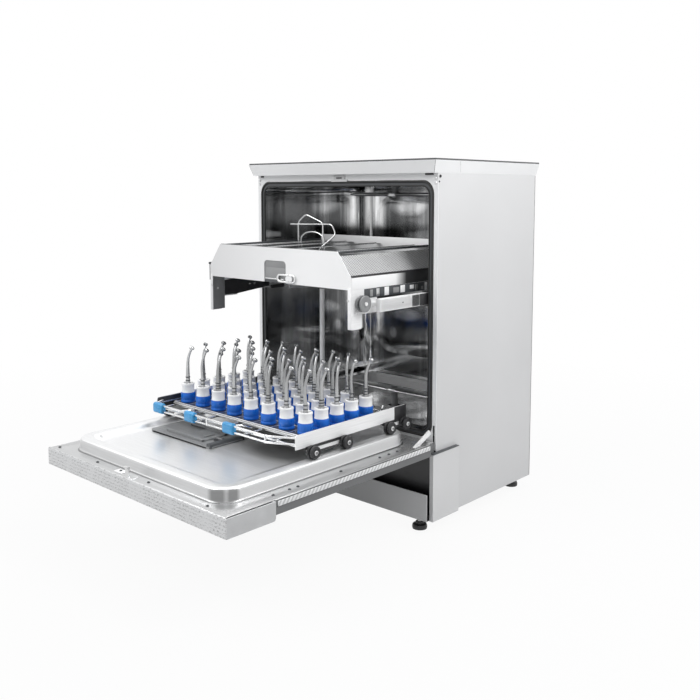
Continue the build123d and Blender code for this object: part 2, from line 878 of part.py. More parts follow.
# Detergent dispenser: a moulded box let into the liner, with a sliding cover and a dosing cap
z_dispenser = z_dish + 5
cover_x = -70
cover_half_width = 36
cover_half_length = 32
cover_sheet = 3
cup_depth = 15
cup_corner = 12
cap_x = -18
cap_radius = 13
cap_sink = 8
dispenser_y = dispenser_front + dispenser_length / 2
with BuildPart() as dispenser:
    with BuildSketch(level(z_liner + loose)):
        with Locations((dispenser_x, dispenser_y)):
            Rectangle(2 * (dispenser_half_width - gap), dispenser_length - 2 * gap)
    extrude(amount=z_dish - z_liner - loose)
    with BuildSketch(level(z_dish)):
        with Locations((dispenser_x, dispenser_y)):
            RectangleRounded(2 * dispenser_half_width + 12, dispenser_length + 12, 10)
    extrude(amount=z_dispenser - z_dish)
    with BuildSketch(level(z_dispenser)):
        with Locations((cover_x, dispenser_y)):
            RectangleRounded(2 * cover_half_width - 12, 2 * cover_half_length - 12, cup_corner)
    extrude(amount=-cup_depth, mode=Mode.SUBTRACT)
    with BuildSketch(level(z_dispenser)):
        with Locations((cap_x, dispenser_y)):
            Circle(cap_radius + gap)
    extrude(amount=-cap_sink, mode=Mode.SUBTRACT)
    for side in sides:
        edge = dispenser_y + side * (cover_half_length + gap)
        rail = dispenser_y + side * (cover_half_length + 3)
        lip = dispenser_y + side * (cover_half_length - 3)
        rail_left = cover_x - cover_half_width - cover_travel
        rail_right = cover_x + cover_half_width
        rail_top = z_dispenser + cover_sheet + 2 * gap
        block(rail_left, rail_right, edge, rail, z_dispenser, rail_top)
        block(rail_left, rail_right, lip, rail, rail_top, rail_top + 1.5)
keep(dispenser.part, "dispenser")

with BuildPart() as dispenser_cover:
    with BuildSketch(level(z_dispenser + gap)):
        with Locations((cover_x, dispenser_y)):
            RectangleRounded(2 * cover_half_width, 2 * cover_half_length, 6)
    extrude(amount=cover_sheet)
    with BuildSketch(level(z_dispenser + gap + cover_sheet)):
        with Locations((cover_x, dispenser_y)):
            Ellipse(22, 14)
    extrude(amount=-1.2, mode=Mode.SUBTRACT)
keep(dispenser_cover.part, "dispenser_cover")

with BuildPart() as rinse_cap:
    with BuildSketch(level(z_dispenser - cap_sink + gap)):
        with Locations((cap_x, dispenser_y)):
            Circle(cap_radius)
    extrude(amount=cap_sink + 1.5)
    block(cap_x - 10, cap_x + 10, dispenser_y - 2.5, dispenser_y + 2.5, z_dispenser + 1, z_dispenser + 5)
keep(rinse_cap.part, "rinse_cap")

# Latch hook of the door
hook_sheet = 3.5
hook_height = 24
hook_lip = 2
hook_y = y_fascia
with BuildPart() as latch_hook:
    block(-hook_half_width, hook_half_width, hook_y, hook_y + hook_sheet, door_top, door_top + hook_height)
    block(
        -hook_half_width, hook_half_width, hook_y - hook_lip, hook_y,
        door_top + hook_height - 4, door_top + hook_height,
    )
    block(-14, 14, hook_y, hook_y + 18, door_top, door_top + 2)
keep(latch_hook.part, "latch_hook")

# Hinge arms under the flange with the pins, and the slanted links that stand beside the opening
link_reach = 50
link_foot_y = y_front - link_reach
with BuildPart() as hinge_arms:
    for side in sides:
        with BuildSketch(upright(side * arm_x)):
            span(y_pivot - 130, y_pivot, z_door + panel_wall + 1, z_liner)
            with Locations((y_pivot, z_pivot - 1.5)):
                Circle(7.2)
        extrude(amount=side * arm_sheet)
        with BuildSketch(upright(side * (bracket_x - 1))):
            with Locations((y_pivot, z_pivot)):
                Circle(hinge_pin_radius)
        extrude(amount=side * (arm_x + arm_sheet - bracket_x + 1))
        with BuildSketch(upright(side * link_x)):
            with BuildLine():
                Polyline(
                    (link_foot_y, door_top), (link_foot_y + 22, door_top),
                    (y_pivot - 2, z_pivot + link_rise), (y_pivot - 8, z_pivot + link_rise + 9),
                    (link_foot_y, door_top),
                )
            make_face()
        extrude(amount=side * link_sheet)
keep(hinge_arms.part, "hinge_arms")


# Lower basket: side plates, welded wires, wheels and the feed pipe
y_lower = y_front - lower_rest_ahead
y_lower_back = y_lower + basket_length
z_plate = z_rim + lower_plate_lift
z_plate_top = z_plate + lower_plate_height
z_wheel = z_rim + wheel_radius
wheel_offsets = (40, 138, 280, 334)
wheel_places = [y_lower + offset for offset in wheel_offsets]
carrier_height = 14
with BuildPart() as lower_side_plates:
    for side in sides:
        with BuildSketch(upright(side * (lower_half_width - plate_sheet))):
            with BuildLine():
                Polyline(
                    (y_lower, z_plate), (y_lower_back, z_plate), (y_lower_back, z_plate_top),
                    (y_lower, z_plate_top), (y_lower, z_plate),
                )
            make_face()
            fillet(vertices().group_by(Axis.Y)[-1], 6)
            for first, last in ((0, 1), (2, 3)):
                span(
                    wheel_places[first] - 9, wheel_places[last] + 9,
                    z_wheel - 6, z_plate + 1,
                )
        extrude(amount=side * plate_sheet)
        axles = []
        for place in wheel_places:
            start = (side * (lower_half_width - plate_sheet / 2), place, z_wheel)
            axles.append((start, (side * (lower_half_width + 20), place, z_wheel)))
        rods(axles, wheel_axle_radius)
keep(lower_side_plates.part, "lower_side_plates")

inner_half = lower_half_width - plate_sheet
z_wire = z_plate + 4
y_wire = y_lower - 18
wire_rise = 13
wire_left = -inner_half + 16
wire_right = inner_half - 62
with BuildPart() as lower_wires:
    bars = []
    for place in range(9):
        y = y_lower + 12 + place * (basket_length - 24) / 8
        bars.append(((-inner_half, y, z_wire), (inner_half, y, z_wire)))
    for place in range(6):
        x = wire_left + place * (wire_right - wire_left) / 5
        bars.append(((x, y_wire, z_wire + 4), (x, y_lower + basket_length - 10, z_wire + 4)))
    for height in (z_wire + 4, z_wire + 4 + wire_rise):
        bars.append(((wire_left, y_wire, height), (wire_right, y_wire, height)))
        bars.append(((wire_right, y_wire, height), (inner_half - wire_radius, y_lower + 14, height)))
        bars.append(((wire_left, y_wire, height), (-inner_half + wire_radius, y_lower + 14, height)))
    for x in (wire_left, (wire_left + wire_right) / 2, wire_right):
        bars.append(((x, y_wire, z_wire + 2), (x, y_wire, z_wire + 6 + wire_rise)))
    rods(bars, wire_radius)
keep(lower_wires.part, "lower_wires")

clip_places = (wire_left + 18.5, wire_left + 136.5, wire_left + 270.5)
with BuildPart() as lower_clips:
    for place in clip_places:
        with BuildSketch(upright(place - 16)):
            rounded(y_wire - 7, y_wire + 7, z_wire - 2, z_wire + 23, 5)
            span(
                y_wire - wire_radius - gap, y_wire + wire_radius + gap,
                z_wire + 4 - wire_radius - gap, z_wire + 4 + wire_rise + wire_radius + gap,
                mode=Mode.SUBTRACT,
            )
        extrude(amount=32)
keep(lower_clips.part, "lower_clips")

for number, place in enumerate(wheel_places, start=1):
    with BuildPart() as wheel_pair:
        for side in sides:
            with BuildSketch(upright(side * (lower_half_width + 2))):
                with Locations((place, z_wheel)):
                    Circle(wheel_radius)
                    Circle(wheel_axle_radius + running, mode=Mode.SUBTRACT)
            extrude(amount=side * 7)
            with BuildSketch(upright(side * (lower_half_width + 9))):
                with Locations((place, z_wheel)):
                    Circle(8)
                    Circle(wheel_axle_radius + running, mode=Mode.SUBTRACT)
            extrude(amount=side * 3)
            with BuildSketch(upright(side * (lower_half_width + 12))):
                with Locations((place, z_wheel)):
                    Circle(wheel_radius)
                    Circle(wheel_axle_radius + running, mode=Mode.SUBTRACT)
            extrude(amount=side * 7)
    keep(wheel_pair.part, f"lower_wheels_{number}")

# Load carrier: a holed tray over a feed channel, sleeves in two colours and angled handpieces
z_tray = z_wire + 4 + wire_radius
first_x = -(sleeve_columns - 1) * sleeve_pitch_x / 2
first_y = y_lower + sleeve_row_setback
sleeve_points = []
for row in range(sleeve_rows):
    for column in range(sleeve_columns):
        sleeve_points.append((first_x + column * sleeve_pitch_x, first_y + row * sleeve_pitch_y))
tray_front = first_y - 26
tray_back = first_y + (sleeve_rows - 1) * sleeve_pitch_y + 26
nozzle_radius = 5
with BuildPart() as socket_tray:
    with BuildSketch(level(z_tray)):
        rounded(-tray_half_width, tray_half_width, tray_front, tray_back, 8)
    extrude(amount=tray_thickness)
    with BuildSketch(level(z_tray + tray_thickness)):
        with Locations(*sleeve_points):
            Circle(nozzle_radius)
    extrude(amount=10)
keep(socket_tray.part, "socket_tray")

mast_radius = 6
mast_x = -20
mast_y = y_lower_back - 12
with BuildPart() as feed_mast:
    with BuildSketch(level(z_tray)):
        with Locations((mast_x, mast_y)):
            Circle(mast_radius)
    extrude(amount=upper_bottom - 30 - z_tray)
    block(mast_x - 9, mast_x + 9, tray_back, mast_y, z_tray, z_tray + 12)
    with BuildSketch(level(z_tray)):
        with Locations((mast_x, mast_y)):
            Circle(11)
    extrude(amount=22)
keep(feed_mast.part, "feed_mast")

z_sleeve = z_tray + tray_thickness
with BuildPart() as sleeve_bases:
    with BuildSketch(level(z_sleeve)):
        with Locations(*sleeve_points):
            Circle(sleeve_base_radius)
            Circle(nozzle_radius + gap, mode=Mode.SUBTRACT)
    extrude(amount=sleeve_base_height)
keep(sleeve_bases.part, "sleeve_bases")

z_cap = z_sleeve + sleeve_base_height
grip_radius = 8
with BuildPart() as sleeve_caps:
    with BuildSketch(level(z_cap)):
        with Locations(*sleeve_points):
            Circle(sleeve_cap_radius)
            Circle(grip_radius + gap, mode=Mode.SUBTRACT)
    extrude(amount=sleeve_cap_height)
keep(sleeve_caps.part, "sleeve_caps")

# A contra-angle handpiece: grip in the sleeve, tapered shank, bent neck and a small round head
shank_height = 62
neck_lean = 18
neck_length = 26
head_radius = 5.5
head_height = 13
z_grip = z_cap
z_shank = z_cap + sleeve_cap_height
z_bend = z_shank + shank_height


def handpiece(x, y, turn):
    """One handpiece standing at x, y with its head turned by an angle, as a single solid."""
    lean_x = cos(radians(turn))
    lean_y = sin(radians(turn))
    top = (
        x + lean_x * neck_length * sin(radians(neck_lean)),
        y + lean_y * neck_length * sin(radians(neck_lean)),
        z_bend + neck_length * cos(radians(neck_lean)),
    )
    grip = Solid.make_cylinder(grip_radius, z_shank - z_grip, Plane(origin=(x, y, z_grip)))
    shank = Solid.make_cone(grip_radius, 4.5, shank_height, Plane(origin=(x, y, z_shank)))
    neck_axis = Vector(top[0] - x, top[1] - y, top[2] - z_bend)
    neck = Solid.make_cone(4.5, 3, neck_length, Plane(origin=(x, y, z_bend), z_dir=neck_axis))
    knee = Solid.make_sphere(4.5, Plane(origin=(x, y, z_bend)), -90, 90, 360)
    head_axis = Vector(lean_x * cos(radians(20)), lean_y * cos(radians(20)), -sin(radians(20)))
    head_start = Vector(*top) - head_axis * (head_height * 0.35)
    head = Solid.make_cylinder(
        head_radius, head_height, Plane(origin=(head_start.X, head_start.Y, head_start.Z), z_dir=head_axis)
    )
    return grip.fuse(shank, neck, knee, head)


with BuildPart() as handpieces:
    pieces = []
    for number, point in enumerate(sleeve_points):
        pieces.append(handpiece(point[0], point[1], 25 + 40 * (number % 3)))
    add(pieces)
keep(handpieces.part, "handpieces")


# Upper basket: front plate with a hand hole, side bands, brackets, perforated sides and wires
y_upper = y_front - upper_rest_ahead
y_upper_back = y_upper + basket_length
hand_half_width = 36
hand_height = 50
latch_z = upper_bottom + 12
latch_left = 9
latch_right = 70
latch_travel = 6
latch_sheet = 4
stud_left = 47
stud_right = 56
stud_radius = 2.5
with BuildPart() as upper_front_plate:
    with BuildSketch(facing(y_upper + plate_sheet)):
        with BuildLine():
            Polyline(
                (-upper_half_width, upper_bottom), (upper_half_width, upper_bottom),
                (upper_half_width, upper_shoulder), (upper_top_half_width, upper_top),
                (-upper_top_half_width, upper_top), (-upper_half_width, upper_shoulder),
                (-upper_half_width, upper_bottom),
            )
        make_face()
        rounded(
            -hand_half_width, hand_half_width, upper_bottom - 20, upper_bottom + hand_height, 9,
            mode=Mode.SUBTRACT,
        )
    extrude(amount=plate_sheet)
    for stud_x in (stud_left, stud_right):
        with BuildSketch(facing(y_upper)):
            with Locations((stud_x, latch_z)):
                Circle(stud_radius)
        extrude(amount=latch_sheet + 2 * gap)
        with BuildSketch(facing(y_upper - latch_sheet - 2 * gap)):
            with Locations((stud_x, latch_z)):
                Circle(stud_radius + 4)
        extrude(amount=1.2)
keep(upper_front_plate.part, "upper_front_plate")

band_bottom = upper_bottom
band_inner = upper_half_width - plate_sheet
bracket_bottom = 485
bracket_width = 35
hanger_width = 84
shoe_low = rail_bottom + rail_web + gap
shoe_high = rail_bottom + rail_height - rail_web - gap
shoe_inner = rail_outer - rail_depth + 1
shoe_outer = rail_outer - rail_web - gap
y_shoe_front = y_upper + 62
y_shoe_back = y_upper_back - 36
guide_wheel_radius = 18
guide_wheel_y = y_upper + 30
guide_wheel_z = 540
upper_arm_y = y_arm - (y_home - y_upper)
upper_arm_z = band_bottom - 16
post_radius = 5
mesh_sheet = 1.2
z_mesh = band_bottom + 6
tray_half = band_inner - gap
tray_length = basket_length - plate_sheet - gap
with BuildPart() as upper_frame:
    for side in sides:
        with BuildSketch(upright(side * band_inner)):
            span(y_upper + plate_sheet, y_upper_back, band_bottom, upper_shoulder - 1.5)
            rounded(y_upper + plate_sheet, y_upper + bracket_width, bracket_bottom, band_bottom + 12, 4)
            span(y_upper + plate_sheet, y_upper + hanger_width, rail_bottom - 6, band_bottom + 1)
            span(y_upper_back - hanger_width, y_upper_back - 20, rail_bottom - 6, band_bottom + 1)
        extrude(amount=side * plate_sheet)
        axle_start = (side * band_inner, guide_wheel_y, guide_wheel_z)
        rods([(axle_start, (side * (upper_half_width + 18), guide_wheel_y, guide_wheel_z))], 4)
        for place in (y_shoe_front, y_shoe_back):
            with BuildSketch(upright(side * band_inner)):
                with Locations((place + 8, (shoe_low + shoe_high) / 2)):
                    Circle(5)
            extrude(amount=side * (shoe_inner - band_inner + 1))
            near = side * shoe_inner
            far = side * shoe_outer
            block(near, far, place, place + 16, shoe_low, shoe_high)
        flange_in = side * (band_inner - 9)
        block(side * band_inner, flange_in, y_upper + plate_sheet, y_upper_back, z_mesh - 1.5, z_mesh)
keep(upper_frame.part, "upper_frame")


def tray_section(inset, lift):
    """Section of the perforated tray: upright walls that lean inwards above the side bands."""
    wide = tray_half - inset
    narrow = upper_top_half_width - inset
    Polygon(
        (-wide, z_mesh + inset), (wide, z_mesh + inset), (wide, upper_shoulder),
        (narrow, upper_top - 2 + lift), (-narrow, upper_top - 2 + lift), (-wide, upper_shoulder),
        align=None,
    )


with BuildPart() as upper_mesh:
    with BuildSketch(facing(y_upper_back)):
        tray_section(0, 0)
    extrude(amount=tray_length)
    with BuildSketch(facing(y_upper_back - mesh_sheet)):
        tray_section(mesh_sheet, 2)
    extrude(amount=tray_length - 2 * mesh_sheet, mode=Mode.SUBTRACT)
    with BuildSketch(level(upper_arm_z - 2)):
        with Locations((0, upper_arm_y)):
            Circle(post_radius)
    extrude(amount=z_mesh - upper_arm_z + 2)
    with BuildSketch(level(upper_arm_z - 2)):
        with Locations((0, upper_arm_y)):
            Circle(post_radius + 5)
    extrude(amount=2 - gap)
keep(upper_mesh.part, "upper_mesh")

with BuildPart() as basket_latch:
    with BuildSketch(facing(y_upper - gap)):
        rounded(latch_left, latch_right, latch_z - 10, latch_z + 10, 9.9)
        rounded(
            stud_left - stud_radius - gap, stud_right + stud_radius + latch_travel + gap,
            latch_z - 5, latch_z + 5, 4.9, mode=Mode.SUBTRACT,
        )
    extrude(amount=latch_sheet)
keep(basket_latch.part, "basket_latch")

# Wire insert standing in the upper basket: a hooped frame with a cross bar and a slanted brace
insert_wire_radius = 2
insert_left = 52 - upper_half_width
insert_right = insert_left + 90
insert_peak = insert_left + 28
insert_y = y_upper + 252
insert_foot_y = insert_y - 70
insert_low = z_mesh + mesh_sheet + insert_wire_radius
insert_high = tub_top - 101
with BuildPart() as wire_insert:
    corner_a = (insert_left, insert_y, insert_low)
    corner_b = (insert_right, insert_y, insert_low)
    corner_c = (insert_left, insert_foot_y, insert_low)
    corner_d = (insert_right, insert_foot_y, insert_low)
    shoulder_a = (insert_left, insert_y, insert_high)
    shoulder_b = (insert_right, insert_y, insert_high)
    peak = (insert_peak, insert_y, insert_high + 21)
    bar_left = (insert_left - 29, insert_y, insert_high - 3)
    bar_right = (insert_right + 32, insert_y, insert_high - 3)
    brace = (insert_right + 46, insert_y, insert_high - 29)
    rods(
        [
            (corner_a, shoulder_a), (corner_b, shoulder_b), (corner_a, corner_b), (corner_c, corner_d),
            (corner_a, corner_c), (corner_b, corner_d), (shoulder_a, peak), (peak, shoulder_b),
            (bar_left, bar_right), (bar_right, brace), (brace, corner_d),
        ],
        insert_wire_radius,
    )
keep(wire_insert.part, "wire_insert")

with BuildPart() as guide_wheels:
    for side in sides:
        for start in (upper_half_width + 2, upper_half_width + 12):
            with BuildSketch(upright(side * start)):
                with Locations((guide_wheel_y, guide_wheel_z)):
                    Circle(guide_wheel_radius)
                    Circle(4 + running, mode=Mode.SUBTRACT)
            extrude(amount=side * 4)
        with BuildSketch(upright(side * (upper_half_width + 6))):
            with Locations((guide_wheel_y, guide_wheel_z)):
                Circle(9)
                Circle(4 + running, mode=Mode.SUBTRACT)
        extrude(amount=side * 6)
keep(guide_wheels.part, "guide_wheels")

with BuildPart() as upper_rails:
    for side in sides:
        with BuildSketch(facing(rail_rest_front)):
            web_near = side * (rail_outer - rail_web)
            edge = side * rail_outer
            lip = side * (rail_outer - rail_depth)
            span(web_near, edge, rail_bottom, rail_bottom + rail_height)
            span(lip, edge, rail_bottom, rail_bottom + rail_web)
            span(
                lip, edge,
                rail_bottom + rail_height - rail_web, rail_bottom + rail_height,
            )
        extrude(amount=-rail_length)
keep(upper_rails.part, "upper_rails")

with BuildPart() as upper_spray_arm:
    spray_arm(upper_arm_z, arm_thickness, arm_radius - 5, post_radius + running, upper_arm_y)
keep(upper_spray_arm.part, "upper_spray_arm")

print("lower basket travel", y_home - y_lower)
print("upper basket travel", y_home - y_upper, "rails", rail_home_front - rail_rest_front)
print("pivot", y_pivot, z_pivot, "arm", y_arm, "front", y_front)
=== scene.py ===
from math import cos, pi, radians, sin, sqrt

import bmesh
import bpy
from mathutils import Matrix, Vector


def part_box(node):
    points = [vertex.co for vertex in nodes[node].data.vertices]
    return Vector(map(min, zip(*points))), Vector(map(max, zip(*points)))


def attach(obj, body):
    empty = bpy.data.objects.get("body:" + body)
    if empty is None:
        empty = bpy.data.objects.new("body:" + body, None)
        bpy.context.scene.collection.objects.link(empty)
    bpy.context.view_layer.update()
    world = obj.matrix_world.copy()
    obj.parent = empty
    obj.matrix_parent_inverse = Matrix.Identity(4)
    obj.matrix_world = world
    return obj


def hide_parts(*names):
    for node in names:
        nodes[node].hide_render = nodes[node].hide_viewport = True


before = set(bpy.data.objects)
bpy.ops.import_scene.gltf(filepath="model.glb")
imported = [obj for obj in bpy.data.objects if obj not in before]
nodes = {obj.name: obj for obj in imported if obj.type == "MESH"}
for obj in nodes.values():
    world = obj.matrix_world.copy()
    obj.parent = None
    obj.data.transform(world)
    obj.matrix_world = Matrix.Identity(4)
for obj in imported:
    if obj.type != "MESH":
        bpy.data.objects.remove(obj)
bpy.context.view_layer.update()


# Materials

def add_node(tree, kind, links=(), **settings):
    """Adds a shader node with its settings and links sources to its sockets."""
    n = tree.nodes.new("ShaderNode" + kind)
    for key, value in settings.items():
        if hasattr(n, key):
            setattr(n, key, value)
        else:
            n.inputs[key.replace("_", " ")].default_value = value
    for socket, source in dict(links).items():
        tree.links.new(source, n.inputs[socket])
    return n


class Shader:
    """Builds one node material around a Principled shader."""

    def __init__(self, name, **sockets):
        self.material = bpy.data.materials.new(name)
        self.material.use_nodes = True
        self.tree = self.material.node_tree
        self.main = self.tree.nodes["Principled BSDF"]
        for key, value in sockets.items():
            self.main.inputs[key.replace("_", " ")].default_value = value
        self.where = self.node("TexCoord").outputs["Object"]
        self.normal = None

    def node(self, kind, links=(), **settings):
        return add_node(self.tree, kind, links, **settings)

    def math(self, operation, *values):
        """Result of a math node whose inputs are sockets or numbers."""
        n = self.node("Math", operation=operation)
        for socket, value in zip(n.inputs, values):
            if isinstance(value, (int, float)):
                socket.default_value = value
            else:
                self.tree.links.new(value, socket)
        return n.outputs[0]

    def length(self, vector):
        return self.node("VectorMath", {0: vector}, operation="LENGTH").outputs["Value"]

    def noise(self, scale, detail=3.0, roughness=0.5, stretch=None):
        place = self.where
        if stretch:
            place = self.node("Mapping", {"Vector": place}, Scale=stretch).outputs["Vector"]
        return self.node(
            "TexNoise", {"Vector": place}, Scale=scale, Detail=detail, Roughness=roughness
        ).outputs["Fac"]

    def ramp(self, source, low, high, at=(0.35, 0.65)):
        n = self.node("ValToRGB", {"Fac": source})
        n.color_ramp.elements[0].position = at[0]
        n.color_ramp.elements[1].position = at[1]
        n.color_ramp.elements[0].color = (*low, 1)
        n.color_ramp.elements[1].color = (*high, 1)
        return n.outputs["Color"]

    def spread(self, source, low, high, start=0.3, end=0.7):
        return self.node(
            "MapRange", {"Value": source}, From_Min=start, From_Max=end, To_Min=low, To_Max=high
        ).outputs["Result"]

    def tint(self, source, low, high, at=(0.35, 0.65)):
        self.tree.links.new(self.ramp(source, low, high, at), self.main.inputs["Base Color"])

    def spots(self, field, places, colour):
        """Mixes a colour into a field around some places, each with its sizes along the axes."""
        for centre, size in places:
            turned = {"vector_type": "TEXTURE", "Location": centre, "Scale": size}
            shifted = self.node("Mapping", {"Vector": self.where}, **turned).outputs["Vector"]
            near = self.spread(self.length(shifted), 1.0, 0.0, 0.5, 1.0)
            mix = self.node("Mix", {0: near, 6: field}, data_type="RGBA")
            mix.inputs[7].default_value = (*colour, 1)
            field = mix.outputs[2]
        self.tree.links.new(field, self.main.inputs["Base Color"])

    def rough(self, source, low, high):
        self.tree.links.new(self.spread(source, low, high), self.main.inputs["Roughness"])

    def use_normal(self, n):
        self.normal = n.outputs["Normal"]
        self.tree.links.new(self.normal, self.main.inputs["Normal"])

    def bump(self, source, strength, distance):
        n = self.node("Bump", {"Height": source}, Strength=strength, Distance=distance)
        if self.normal is not None:
            self.tree.links.new(self.normal, n.inputs["Normal"])
        self.use_normal(n)

    def soft_edges(self, radius):
        n = self.node("Bevel", Radius=radius)
        n.samples = 4
        self.use_normal(n)


def shade(colour, factor):
    return tuple(min(1.0, c * factor) for c in colour)


def enamel(name, colour, roughness=0.38, edge=0.0006):
    """Sprayed sheet metal with a faint orange peel."""
    s = Shader(name, Roughness=roughness, Specular_IOR_Level=0.5)
    s.soft_edges(edge)
    s.tint(s.noise(3.5, 2.0), shade(colour, 0.975), shade(colour, 1.015))
    s.rough(s.noise(40, 4.0), roughness - 0.04, roughness + 0.05)
    s.bump(s.noise(900, 2.0), 0.08, 0.0002)
    return s.material


def brushed(name, colour, along="x", roughness=0.3, edge=0.0005, wobble=0.0, metallic=1.0):
    """Steel with fine grain lines running along one axis."""
    s = Shader(name, Metallic=metallic, Roughness=roughness)
    if edge:
        s.soft_edges(edge)
    grain = s.noise(14, 6.0, 0.65, GRAIN_ALONG[along])
    s.tint(grain, shade(colour, 0.93), shade(colour, 1.04))
    s.rough(s.noise(5, 3.0), roughness - 0.06, roughness + 0.08)
    if wobble:
        s.bump(s.noise(7, 1.0), wobble, 0.004)
    s.bump(grain, 0.12, 0.0003)
    return s.material


GRAIN_ALONG = {"x": (1, 60, 60), "y": (60, 1, 60), "z": (60, 60, 1)}

# Places on the door's inner sheet, with their sizes, where dark reflections of the basket and opening are
# painted into the colour
PAINTED_REFLECTIONS = (
    ((0.186, -0.456, 0.230), (0.052, 0.010, 0.012)), ((0.222, -0.428, 0.230), (0.010, 0.026, 0.012)),
    ((0.128, -0.238, 0.2266), (0.105, 0.062, 0.02)), ((0.212, -0.330, 0.229), (0.016, 0.110, 0.012)),
)

# The dark reflection painted on the front corner of the door sheet's outer wall
PAINTED_CORNER_BANDS = (
    ((0.238, -0.490, 0.226), (0.024, 0.018, 0.09)), ((0.258, -0.469, 0.226), (0.010, 0.016, 0.09)),
)


def dished(name, colour, places):
    """Brushed door sheet with dark reflections painted into its colour at some places."""
    s = Shader(name, Metallic=0.74, Roughness=0.32)
    grain = s.noise(14, 6.0, 0.65, GRAIN_ALONG["x"])
    s.spots(s.ramp(grain, shade(colour, 0.93), shade(colour, 1.04)), places, shade(colour, 0.42))
    s.rough(s.noise(5, 3.0), 0.26, 0.40)
    s.bump(grain, 0.12, 0.0003)
    return s.material


def polished(name, colour, roughness, wobble, scale, low=0.9, high=1.05):
    """Bright drawn steel whose surface is slightly uneven."""
    s = Shader(name, Metallic=1.0, Roughness=roughness)
    s.tint(s.noise(9, 4.0), shade(colour, low), shade(colour, high))
    s.rough(s.noise(22, 5.0), roughness * 0.6, roughness * 1.8)
    s.bump(s.noise(scale, 1.0), wobble, 0.006)
    s.bump(s.noise(420, 2.0), 0.02, 0.0002)
    return s.material


# Places on the chamber wall, with their sizes, where bright highlights are painted into the polished
# sheet's colour
GLINTS = (
    ((-0.105, 0.492, 0.738), (0.075, 0.05, 0.036)), ((-0.112, 0.492, 0.418), (0.062, 0.05, 0.022)),
    ((-0.158, 0.492, 0.362), (0.016, 0.05, 0.020)), ((-0.262, 0.482, 0.290), (0.030, 0.05, 0.075)),
    ((-0.272, 0.300, 0.262), (0.040, 0.18, 0.026)), ((-0.225, 0.492, 0.740), (0.012, 0.05, 0.060)),
)


def mirror_wall(name, dark, bright):
    """Mirror steel of the chamber, with tall light and dark streaks painted for its reflections, and
    painted highlights.
    """
    s = Shader(name, Metallic=1.0, Roughness=0.08)
    streaks = s.noise(9, 4.0, 0.65, (1, 1, 0.06))
    field = s.ramp(streaks, dark, bright, (0.44, 0.58))
    s.spots(field, GLINTS, (0.97, 0.975, 0.98))
    s.rough(s.noise(18, 4.0), 0.05, 0.17)
    s.bump(s.noise(5.5, 1.5, 0.5, (1, 1, 0.35)), 0.55, 0.008)
    s.bump(s.noise(420, 2.0), 0.02, 0.0002)
    return s.material


def fading(name, first, last, axis, start, end, roughness, metallic=0.3):
    """Brushed sheet whose tone runs from one colour to another between two places along an axis, to paint
    a shade gradient.
    """
    s = Shader(name, Metallic=metallic, Roughness=roughness)
    split = s.node("SeparateXYZ", {"Vector": s.where})
    s.tint(s.spread(split.outputs[axis], 0.0, 1.0, start, end), first, last, (0.0, 1.0))
    s.rough(s.noise(6, 3.0), roughness - 0.05, roughness + 0.08)
    s.bump(s.noise(14, 6.0, 0.65, GRAIN_ALONG["x"]), 0.12, 0.0003)
    return s.material


def moulded(name, colour, roughness=0.45, grain=0.15, edge=0.0004):
    """Moulded plastic or rubber with a fine grained skin."""
    s = Shader(name, Roughness=roughness)
    s.soft_edges(edge)
    s.tint(s.noise(30, 3.0), shade(colour, 0.93), shade(colour, 1.05))
    s.rough(s.noise(60, 4.0), roughness - 0.06, roughness + 0.08)
    s.bump(s.noise(1500, 3.0), grain, 0.0002)
    return s.material


def speckled(name, colour, pitch=0.0072):
    """Silver sheet with rows of fine short marks that spell nothing."""
    s = Shader(name, Metallic=0.35, Roughness=0.42)
    s.soft_edges(0.0008)
    marks = s.spread(s.noise(430, 2.0, 0.6, (0.4, 1, 1.4)), 1.0, 0.0, 0.40, 0.52)
    wave = s.node("TexWave", {"Vector": s.where}, Scale=0.314 / pitch, bands_direction="Z")
    rows = s.spread(wave.outputs["Fac"], 0.25, 1.0, 0.3, 0.6)
    groups = s.spread(s.noise(30, 1.0, 0.5, (1, 1, 0.3)), 0.55, 1.0, 0.40, 0.46)
    field = s.math("MULTIPLY", s.math("MULTIPLY", marks, rows), groups)
    s.tint(field, shade(colour, 1.02), shade(colour, 0.5), (0.05, 0.95))
    s.rough(s.noise(120, 3.0), 0.34, 0.52)
    s.bump(marks, 0.1, 0.0003)
    return s.material


def hatched(name, colour, pitch):
    """Pale strip with fine slanted ribs."""
    s = Shader(name, Metallic=0.3, Roughness=0.4)
    turned = s.node("Mapping", {"Vector": s.where}, Rotation=(radians(38), 0, 0)).outputs["Vector"]
    wave = s.node("TexWave", {"Vector": turned}, Scale=1 / pitch, Distortion=0.4, bands_direction="Y")
    ribs = wave.outputs["Fac"]
    s.tint(ribs, shade(colour, 0.66), colour, (0.15, 0.7))
    s.rough(s.noise(50, 3.0), 0.34, 0.48)
    s.bump(ribs, 0.5, 0.001)
    return s.material


def perforated(name, colour, floor, pitch=0.0052, roughness=0.42, hole=0.27, metallic=0.3):
    """Steel sheet with a staggered field of small dark holes."""
    s = Shader(name, Metallic=metallic, Roughness=roughness)
    split = s.node("SeparateXYZ", {"Vector": s.where})
    along = s.math("ADD", split.outputs["X"], split.outputs["Y"])

    def from_middle(source, shift):
        """Place within one cell of the pattern, measured from the middle of the cell."""
        cells = s.math("MULTIPLY_ADD", source, 1 / pitch, shift)
        return s.math("SUBTRACT", s.math("FRACT", cells), 0.5)

    away = []
    for shift in (0.0, 0.5):
        across = from_middle(along, shift)
        upward = from_middle(split.outputs["Z"], shift)
        joined = s.node("CombineXYZ", {"X": across, "Y": upward}).outputs[0]
        away.append(s.length(joined))
    nearest = s.math("MINIMUM", *away)
    s.tint(nearest, shade(colour, floor), colour, (hole - 0.05, hole + 0.03))
    s.rough(s.noise(30, 4.0), roughness - 0.05, roughness + 0.1)
    s.bump(nearest, 0.4, 0.0006)
    return s.material


